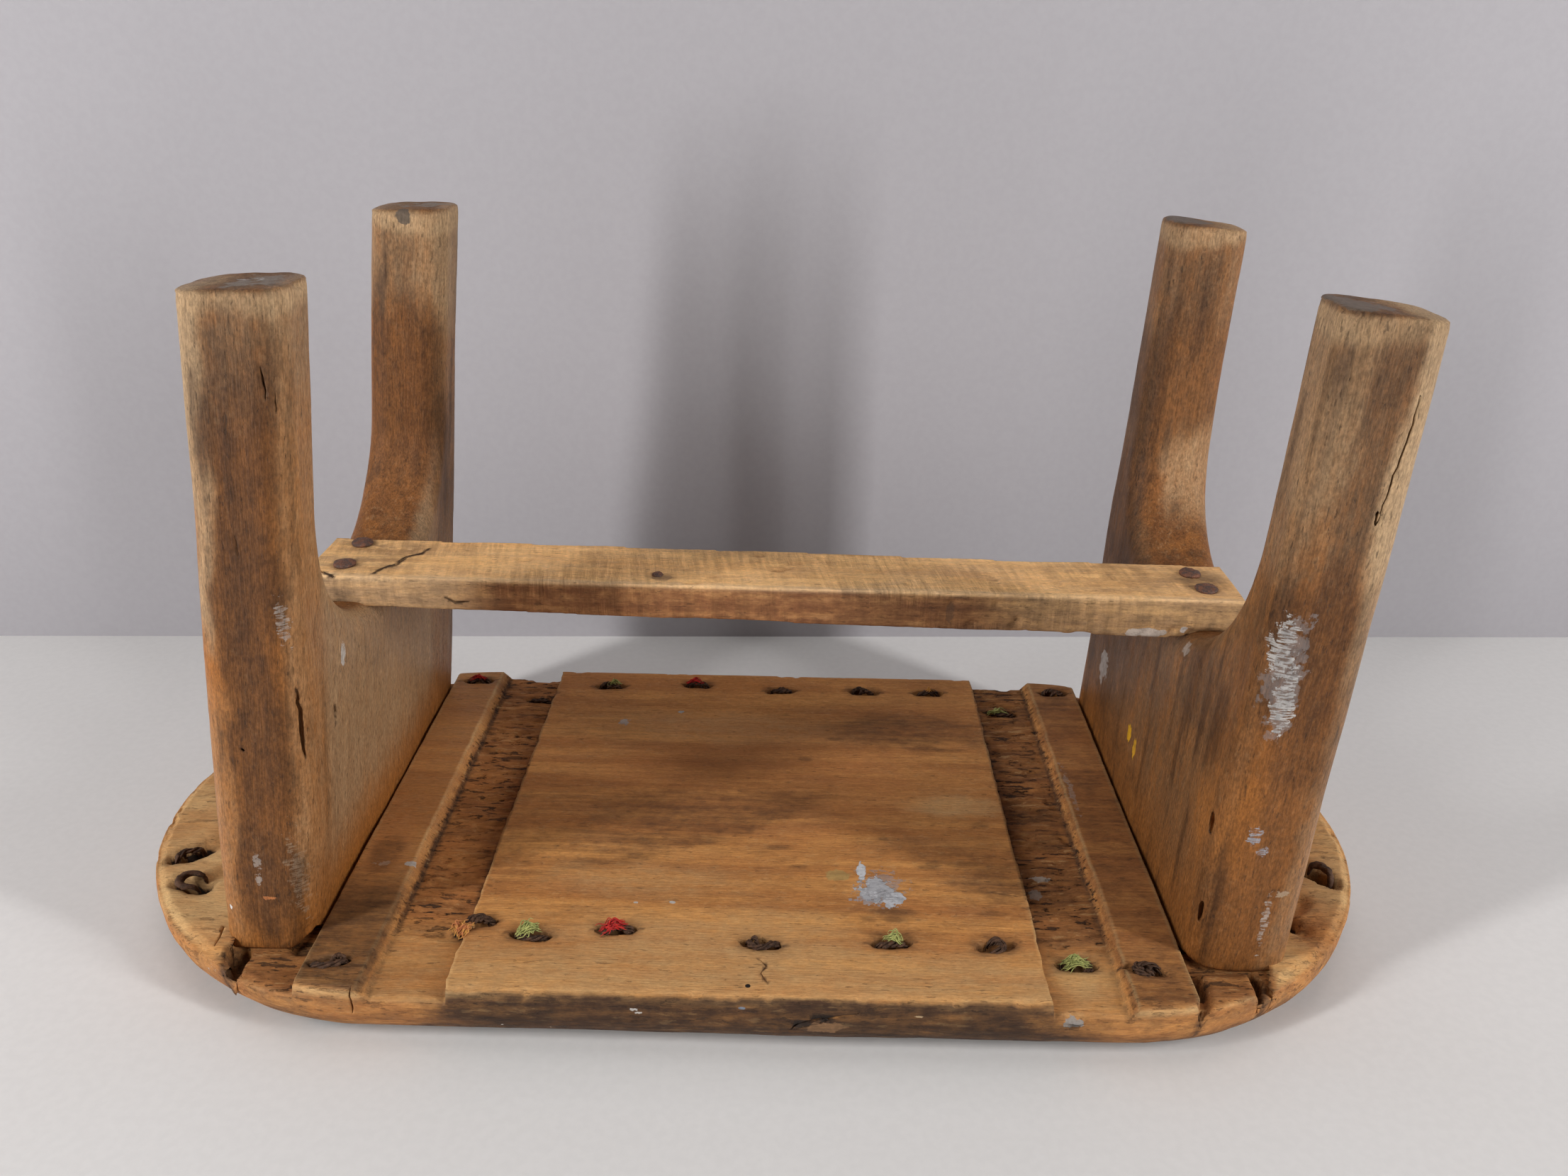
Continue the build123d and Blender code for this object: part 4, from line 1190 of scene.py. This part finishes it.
def placeNail(pattern, x, y, turn, size, sink):
    only(pattern)
    bpy.ops.object.duplicate()
    obj = bpy.context.object
    p = readPoints(obj)
    t = math.radians(turn)
    p = p * np.array([size, size, 1.0])
    p = p @ np.array([[math.cos(t), math.sin(t), 0], [-math.sin(t), math.cos(t), 0], [0, 0, 1]])
    p += np.array([x, y, batten["top"] - sink])
    bent = sway(p, (3.2, 3.2, 3.2), 601)
    p[:, 2] += bent * 1.1
    p[:, :2] += (p[:, :2] - np.array([x, y])) * bent[:, None] * 0.16
    writePoints(obj, p)
    return obj


def smallFinish(name, look):  # two colours in patches and a third one on the grain
    mat, tree = startMaterial(name)
    place = inMillimetres(tree)
    patches, grain = cloud(tree, place, *look["patches"]), cloud(tree, place, *look["grain"])
    colour = mixColour(tree, span(tree, patches, *look["patchSpan"]), look["base"], look["second"])
    colour = mixColour(tree, span(tree, grain, *look["grainSpan"]), colour, look["third"])
    relief, rough = grain, look["rough"]
    if "patchRelief" in look:
        relief = plus(tree, times(tree, patches, look["patchRelief"]), grain)
        rough = span(tree, grain, 0.3, 0.7, *look["rough"])
    return finishMaterial(mat, surface(tree, colour, rough, relief, look["bump"], look["depth"], look["more"]))


ironLook = {
    "patches": ((2.6, 2.6, 2.6), 5.0, 0.65), "grain": ((0.5, 0.5, 0.5), 4.0, 0.6),
    "patchSpan": (0.4, 0.62), "grainSpan": (0.5, 0.7, 0.0, 0.8),
    "base": (0.095, 0.055, 0.042), "second": (0.2, 0.078, 0.04), "third": (0.022, 0.016, 0.015),
    "rough": (0.45, 0.75), "patchRelief": 0.8, "bump": 0.7, "depth": 0.4, "more": {"Metallic": 0.35},
}
iron = smallFinish("rusty nail iron", ironLook)
pattern = makeNail()
for name, (x, y, turn) in nails.items():
    nail = placeNail(pattern, x, y, turn, 1.0, nailShape["sink"])
    dress(nail, iron)
    finishPiece(nail, name, "iron", nodeOf(name))
pin = placeNail(pattern, -42, -7, 40, nailShape["pinRadius"] / nailShape["radius"], nailShape["pinSink"])
dress(pin, iron)
finishPiece(pin, "stretcherMiddleNail", "iron", "stretcher_middle_nail")
bpy.data.objects.remove(pattern)
print("nails finished")


def sweep(path, width, height, seed, segments=12, rings=26, lobes=0.25, twist=3.0, crumple=0.25,
          coil=0.0, turns=2.0, phase=0.0):
    bpy.ops.mesh.primitive_uv_sphere_add(segments=segments, ring_count=rings, radius=1)
    obj = bpy.context.object
    c = readPoints(obj) * mm
    turn = np.arccos(np.clip(c[:, 2], -1, 1)) / math.pi
    path = np.array(path, float)
    steps = np.linspace(0, 1, len(path))

    def onPath(share):
        return np.stack([np.interp(share, steps, path[:, k]) for k in range(3)], axis=1)

    ahead, behind = onPath(np.clip(turn + 0.06, 0, 1)), onPath(np.clip(turn - 0.06, 0, 1))
    at = (onPath(turn) * 2 + ahead + behind) / 4  # rounds the corners of the path
    way = ahead - behind
    way /= np.maximum(np.linalg.norm(way, axis=1), 1e-9)[:, None]
    side = np.cross(way, np.array([0, 0, 1.0]))
    side /= np.maximum(np.linalg.norm(side, axis=1), 1e-6)[:, None]
    lift = np.cross(side, way)
    wind = phase + turns * 2 * math.pi * turn
    at = at + coil * (side * np.cos(wind)[:, None] + lift * 0.7 * np.sin(wind)[:, None])
    angle = np.arctan2(c[:, 1], c[:, 0])
    twisted = twist * turn * math.pi
    around = 1 + lobes * np.cos(2 * angle + twisted) + lobes * 0.4 * np.cos(5 * angle - 2 * twisted)
    ball = np.sin(turn * math.pi) ** 0.45
    r = around * ball
    shape = at + side * (np.cos(angle) * r * width)[:, None] + lift * (np.sin(angle) * r * height)[:, None]
    wrinkle = sway(shape + seed * 13.7, (1.5, 1.2, 1.2), seed)
    away = shape - at
    writePoints(obj, shape + away * (wrinkle * crumple * 2)[:, None])
    faceOutward(obj)
    return obj


def local(stitch, points):  # from along, across and above a slit to the frame
    x, y, turn, level = stitch[:4]
    t = math.radians(turn)
    return [(x + a * math.cos(t) - b * math.sin(t), y + a * math.sin(t) + b * math.cos(t), level + h)
            for a, b, h in points]


straps = {  # paths of each strap along its slit, across it, and above it
    "frontThong1": [
        [(-7, 0, -5), (-6.8, -1.5, 0.4), (-3, -3, 1.6), (2, -2.6, 1.8), (5.5, -1, 1.2), (7, 0.4, -1),
         (7, 0, -5)],
        [(1, 0, -4), (1.5, 1.5, 0.8), (3.8, 2.4, 2), (5.6, 1.4, 1), (5.8, 0, -4)]],
    "frontThong2": [
        [(-5.5, 0, -4), (-5, -0.5, 1.5), (-1.5, 1.6, 3.4), (2.5, 1.6, 3), (6, 0.2, 0.6), (7.5, -0.4, -1),
         (7.5, 0, -5)],
        [(-4, -1, 0), (-1, -0.5, 2.4), (3, 0.4, 2.2), (6, 0, -3)]],
    "frontThong3": [
        [(-6.5, 1, -5), (-6.2, 0, -0.4), (-3.5, -2.2, 1.2), (1.5, -2.6, 1.6), (5.2, -1.2, 1), (7.2, 0.4, -1.4),
         (7.2, 0, -5)]],
    "frontThong4": [
        [(-7, -1, -4), (-6.5, -2.2, 0.6), (-3.5, -1.6, 2.4), (0, 0.8, 3), (4, 1, 1.6), (7.4, -0.4, -0.6),
         (7.6, 0, -5)],
        [(-5.5, 0, 0), (-2, -0.4, 2.6), (2, 0, 2.2), (5.5, -1.2, 0.2), (6, 0, -4)]],
    "frontThong5": [
        [(-6.4, 2.4, -4), (-5.6, 1.4, 0.2), (-5, -1.6, 1.6), (-2.4, -3.6, 2), (1.2, -3, 1.8), (4, -0.4, 1.4),
         (8, 1.6, -0.8), (8.2, 1, -5)],
        [(-6.4, 3.2, -3), (-3.6, 2.8, 1), (-2.4, 0.8, 1.6), (-1.4, -1.8, 1.2), (1, -2.2, -1)],
        [(0.4, -1.6, -2), (3.4, -0.6, 1), (5.6, 1.2, 1), (7.6, 2, -2)]],
    "frontThong6": [
        [(-7, 0, -5), (-6.4, -0.6, -0.6), (-3, -1.2, 1.2), (1, -1, 1.5), (4, -0.8, 0.8), (6.5, 0.2, -1.2),
         (6.8, 0, -5)]],
    "frontThong7": [
        [(-3.2, 3.2, -5), (-2.6, 2.8, 0.2), (0.6, 3.2, 1.2), (3.2, 1.6, 1.6), (2.8, -1.6, 1.4), (0.6, -3.2, 1),
         (-3.4, -3.2, 0.2), (-5, -2.6, -4)],
        [(-2, 3, -3), (1.4, 2.2, 1.4), (2, -0.8, 1.8), (0, -2.8, -2)]],
    "frontThong8": [
        [(-7, 0.4, -5), (-5.4, 1.6, 0.6), (-1, 2.2, 1.2), (3, 1.8, 1.2), (6, 0.6, 0.4), (7, 0, -4)],
        [(2, -1.6, -3), (4, -2.2, 1), (6.2, -1.6, 0.4), (6.6, -0.8, -4)]],
    "frontThong9": [
        [(7, 2.2, -4), (5.4, 2.4, 1), (0.6, 2.6, 2), (-3.6, 1.6, 1.6), (-5, -0.8, 1.4), (-2.4, -3.2, 1.6),
         (1.6, -3.8, 1.2), (3.4, -3.2, -4)],
        [(4.4, 2, -3), (1.6, 1.2, 1.6), (0.8, -0.8, 1.4), (2.6, -2.8, 0.6), (3, -3, -4)],
        [(-5, 1.2, -3), (-3.6, 0, 1.4), (-1.6, -2, 1.8), (2, -3, -3)]],
    "leftThong1": [
        [(-6.5, -1, -5), (-5, -1.6, 0.8), (-1.4, 0.6, 2.2), (2.6, 0.2, 1.4), (6.6, 0.6, -0.6), (7, 0, -5)],
        [(-4.5, 1, -4), (-2.4, 1.8, 1.2), (1.6, 1.2, 1.4), (5, 0.4, -4)],
        [(-6, -2, -4), (-4.4, -0.4, 1.6), (-2, 1, 1), (-1, 1, -4)]],
    "leftThong2": [
        [(2.4, 5.2, -4), (1.2, 5, 1.2), (-3, 3.6, 2.2), (-5.2, 0.4, 2.2), (-4.2, -3.4, 1.8), (-0.2, -4.6, 1.4),
         (3.4, -2.2, 1.2), (4.6, -0.6, -4)]],
    "rightThong1": [
        [(5.5, 0, -5), (5, 0.6, 0.6), (2.2, 2.2, 2.2), (-2.4, 2.2, 2.4), (-5.2, 0.2, 1.2), (-5.6, 0, -5)]],
}
strapSets = [  # for the stitches that the far side of the seat shows small
    [
        [(-6.5, 0, -6), (-6.2, -0.6, -0.4), (-3.2, -1.4, 1.6), (0.5, 0.4, 2), (3.6, 1.2, 1.4), (6.4, 0.2, -1),
         (6.6, 0, -6)],
        [(-5, 1, -5), (-2, 1.4, 0.8), (2, -1.2, 1.4), (5, -0.8, -4)]],
    [
        [(-5.5, 0.4, -6), (-5.6, 0.3, -0.2), (-2.5, -1.6, 1.8), (1, -2, 1.6), (4.5, -0.8, 1.2), (6.6, 0, -1.5),
         (6.6, 0, -6)],
        [(-3, 1.6, -5), (-0.6, 1.6, 1.4), (2.6, 1, 1), (4, 0.6, -5)]],
    [
        [(-6.6, 0, -6), (-6.2, 1, -0.4), (-3, 1.8, 2), (0, 0.2, 2.4), (3, -1.4, 1.6), (5.6, -0.8, -0.6),
         (6, 0, -6)],
        [(-4, -1.4, -5), (-1.4, -1.8, 1.2), (1.6, 0.8, 1.6), (4.4, 1.4, -4)]],
]


def makeThong(name, k):
    paths = straps.get(name) or strapSets[k % 3]
    plain = name in ("rightThong1", "leftThong2")
    pieces = []
    for j, path in enumerate(paths):
        if not plain:
            path = [(a * 0.9, b, h * 0.6 - 0.5 if h > 0 else h) for a, b, h in path]
        path = local(stitches[name], path)
        if plain:
            pieces.append(sweep(path, 1.75, 1.5, 700 + 9 * k + j, segments=14, rings=44, lobes=0.14, twist=2.0,
                                crumple=0.3))
            continue
        strands = 3 if j == 0 else 2
        for m in range(strands):  # strands twisted round each other
            size, seed = 0.74 - 0.07 * ((k + m) % 3), 700 + 9 * k + 3 * j + m
            pieces.append(sweep(path, size, size * 0.8, seed, segments=9, rings=48, lobes=0.3, twist=1.0 + m,
                                crumple=0.75, coil=0.8 if j == 0 else 0.55, turns=1.6 + 0.4 * ((k + j) % 3),
                                phase=2 * math.pi * m / strands + k))
    return joinAll(pieces, name) if len(pieces) > 1 else pieces[0]


leatherLook = {
    "patches": ((3.0, 2.0, 2.0), 4.0, 0.6), "grain": ((0.55, 0.4, 0.4), 3.0, 0.6),
    "patchSpan": (0.38, 0.66), "grainSpan": (0.53, 0.7, 0.0, 0.55),
    "base": (0.036, 0.019, 0.012), "second": (0.105, 0.052, 0.03), "third": (0.22, 0.125, 0.072),
    "rough": (0.62, 0.85), "patchRelief": 0.8, "bump": 0.8, "depth": 0.35, "more": {"Specular IOR Level": 0.22},
}
leather = smallFinish("old twisted leather", leatherLook)
thongNames = [name for name in stitches if name != "tornSlit"]
for k, name in enumerate(thongNames):
    thong = makeThong(name, k)
    dress(thong, leather)
    finishPiece(thong, name, "thong_leather", nodeOf(name))
print("thongs finished")


woolColours = {
    "red": ((0.62, 0.022, 0.012), (0.38, 0.012, 0.01)),
    "green": ((0.46, 0.47, 0.15), (0.27, 0.29, 0.08)),
    "orange": ((0.66, 0.34, 0.07), (0.5, 0.17, 0.06)),
}
wools = {  # stitch, colour, middle of the tuft along, across and above, half length, spread, turn, strands
    "frontOrangeWool2": ("frontThong2", "orange", (-5.0, -3.2, 0.8), 4.6, 3.2, 62, 60),
    "frontGreenWool3": ("frontThong3", "green", (-1.5, 1.6, 1.8), 4.4, 2.8, 30, 60),
    "frontRedWool4": ("frontThong4", "red", (-1.4, 0.2, 2.0), 5.4, 2.4, 14, 44),
    "frontGreenWool6": ("frontThong6", "green", (1.0, 1.4, 1.4), 3.6, 1.6, -20, 34),
    "frontGreenWool8": ("frontThong8", "green", (-0.5, 0.2, 1.6), 5.6, 2.8, 14, 60),
    "backRedWool1": ("backThong1", "red", (0.0, 0.0, 1.8), 4.5, 1.5, 5, 18),
    "backGreenWool3": ("backThong3", "green", (2.0, 0.0, 1.8), 3.5, 1.2, 10, 12),
    "backRedWool4": ("backThong4", "red", (-1.5, 0.5, 1.8), 4.5, 1.5, 0, 18),
    "backOrangeWool7": ("backThong7", "orange", (0.5, 0.5, 1.6), 3.5, 1.2, 10, 10),
    "backGreenWool8": ("backThong8", "green", (-3.0, -0.5, 1.6), 5.0, 1.6, 16, 16),
}


def makeWool(name, k):
    stitchName, _, centre, half, spread, turn, count = wools[name]
    rng = np.random.default_rng(900 + k)
    strands = []
    t = math.radians(turn)
    for _ in range(count):
        across = rng.normal(0, spread * 0.5)
        lift = abs(rng.normal(0, 0.9))
        reach = half * rng.uniform(0.35, 1.15)
        start, swing = rng.uniform(-0.5, 0.5) * half * 0.5, rng.normal(0, 0.5)
        curl, beat = rng.uniform(0.3, 0.9), rng.uniform(4, 9)
        points = []
        for s in np.linspace(-1, 1, 11):
            a = start + s * reach
            b = across * (1 - 0.35 * s * s) + swing * s * reach * 0.6 + curl * math.sin(beat * s + across)
            b += rng.normal(0, 0.15)
            h = (1 - s * s) * (0.9 + lift) - 0.6 * abs(s) + 0.5 * curl * math.cos(beat * s)
            h += rng.normal(0, 0.15)
            points.append((centre[0] + a * math.cos(t) - b * math.sin(t),
                           centre[1] + a * math.sin(t) + b * math.cos(t), centre[2] + h - 0.8))
        route = local(stitches[stitchName], points)
        strands.append(sweep(route, 0.24, 0.24, 1000 + k, segments=5, rings=22, lobes=0, crumple=0.3))
    return joinAll(strands, name)


woolLook = {
    "patches": ((2.4, 2.4, 2.4), 3.0, 0.6), "grain": ((0.3, 0.16, 0.16), 3.0, 0.6),
    "patchSpan": (0.36, 0.64), "grainSpan": (0.5, 0.75, 0.0, 0.3),
    "rough": 0.95, "bump": 0.8, "depth": 0.2, "more": {"Sheen Weight": 0.08, "Sheen Roughness": 0.5},
}
dyed = {}
for key, (bright, deep) in woolColours.items():
    tips = tuple(min(1.0, c * 1.5) for c in bright)
    dyed[key] = smallFinish(key + " wool", {**woolLook, "base": bright, "second": deep, "third": tips})
for k, (name, (_, colour, *_)) in enumerate(wools.items()):
    tuft = makeWool(name, k)
    dress(tuft, dyed[colour])
    finishPiece(tuft, name, colour + "_wool", nodeOf(name))
print("wool finished")


# Stage, lamps and camera

stage = {
    "table": (0.74, 0.72, 0.705), "wall": (0.386, 0.369, 0.387), "wallY": 0.2297, "wallTurn": 0.0464,
    "lamp": 0.11, "lampHeight": 1.3, "lampPower": 16.7, "ambient": 0.02,
    "overhead": 0.9, "overheadPower": 4.7,
}


def plainFinish(name, colour, backless=False):
    mat, tree = startMaterial(name)
    place = put(tree, "TexCoord").outputs["Object"]
    soft = put(tree, "TexNoise", {"Vector": place, "Scale": 260.0, "Detail": 3.0}).outputs[0]
    tint = mixColour(tree, span(tree, soft, 0.3, 0.7), colour, tuple(c * 0.97 for c in colour))
    shader = surface(tree, tint, 0.8, soft, 0.15, 0.3, {"Specular IOR Level": 0.2})
    if backless:
        clear = put(tree, "BsdfTransparent").outputs[0]
        back = put(tree, "NewGeometry").outputs["Backfacing"]
        shader = put(tree, "MixShader", {0: back, 1: shader, 2: clear}).outputs[0]
    return finishMaterial(mat, shader)


startClean()
bpy.ops.mesh.primitive_plane_add(size=8, location=(0, 0, 0))
table = bpy.context.object
table.name = "table"
dress(table, plainFinish("pale table", stage["table"]))
bpy.ops.mesh.primitive_plane_add(size=1)
wall = bpy.context.object
wall.name = "wall"
w = readPoints(wall) * mm
w = np.stack([w[:, 0] * 8, stage["wallY"] + w[:, 0] * 8 * stage["wallTurn"], (w[:, 1] + 0.5) * 4], axis=1)
writePoints(wall, w / mm)
dress(wall, plainFinish("grey wall", stage["wall"], True))


def addLamp(name, x, y, z):
    startClean()
    bpy.ops.object.light_add(type="AREA", location=(x, y, z))
    lamp = bpy.context.object
    lamp.name = name
    lamp.rotation_euler = (math.radians(90), 0, math.atan2(x, -y))
    lamp.data.shape = "RECTANGLE"
    lamp.data.size = stage["lamp"]
    lamp.data.size_y = stage["lampHeight"]
    lamp.data.energy = stage["lampPower"]
    return lamp


addLamp("leftLamp", -0.976, -0.714, 0.65)
addLamp("rightLamp", 1.14, -0.64, 0.65)
startClean()
bpy.ops.object.light_add(type="AREA", location=(0, 0.1, 1.6))
overhead = bpy.context.object
overhead.name = "overhead"
overhead.data.size = stage["overhead"]
overhead.data.energy = stage["overheadPower"]
world = bpy.data.worlds.new("studio")
bpy.context.scene.world = world
world.use_nodes = True
world.node_tree.nodes["Background"].inputs[0].default_value = (0.96, 0.97, 1.0, 1.0)
world.node_tree.nodes["Background"].inputs[1].default_value = stage["ambient"]

view = {"at": (0.0145, -0.4655, 0.356), "turn": (65.2161, -0.98055, 0.86271), "lens": 27.5}
startClean()
bpy.ops.object.camera_add(location=view["at"], rotation=[math.radians(t) for t in view["turn"]])
camera = bpy.context.object
camera.data.lens = view["lens"]
camera.data.sensor_width = 36
camera.data.clip_start = 0.01
bpy.context.scene.camera = camera
bpy.context.scene.view_settings.view_transform = "Standard"

print("scene ready")
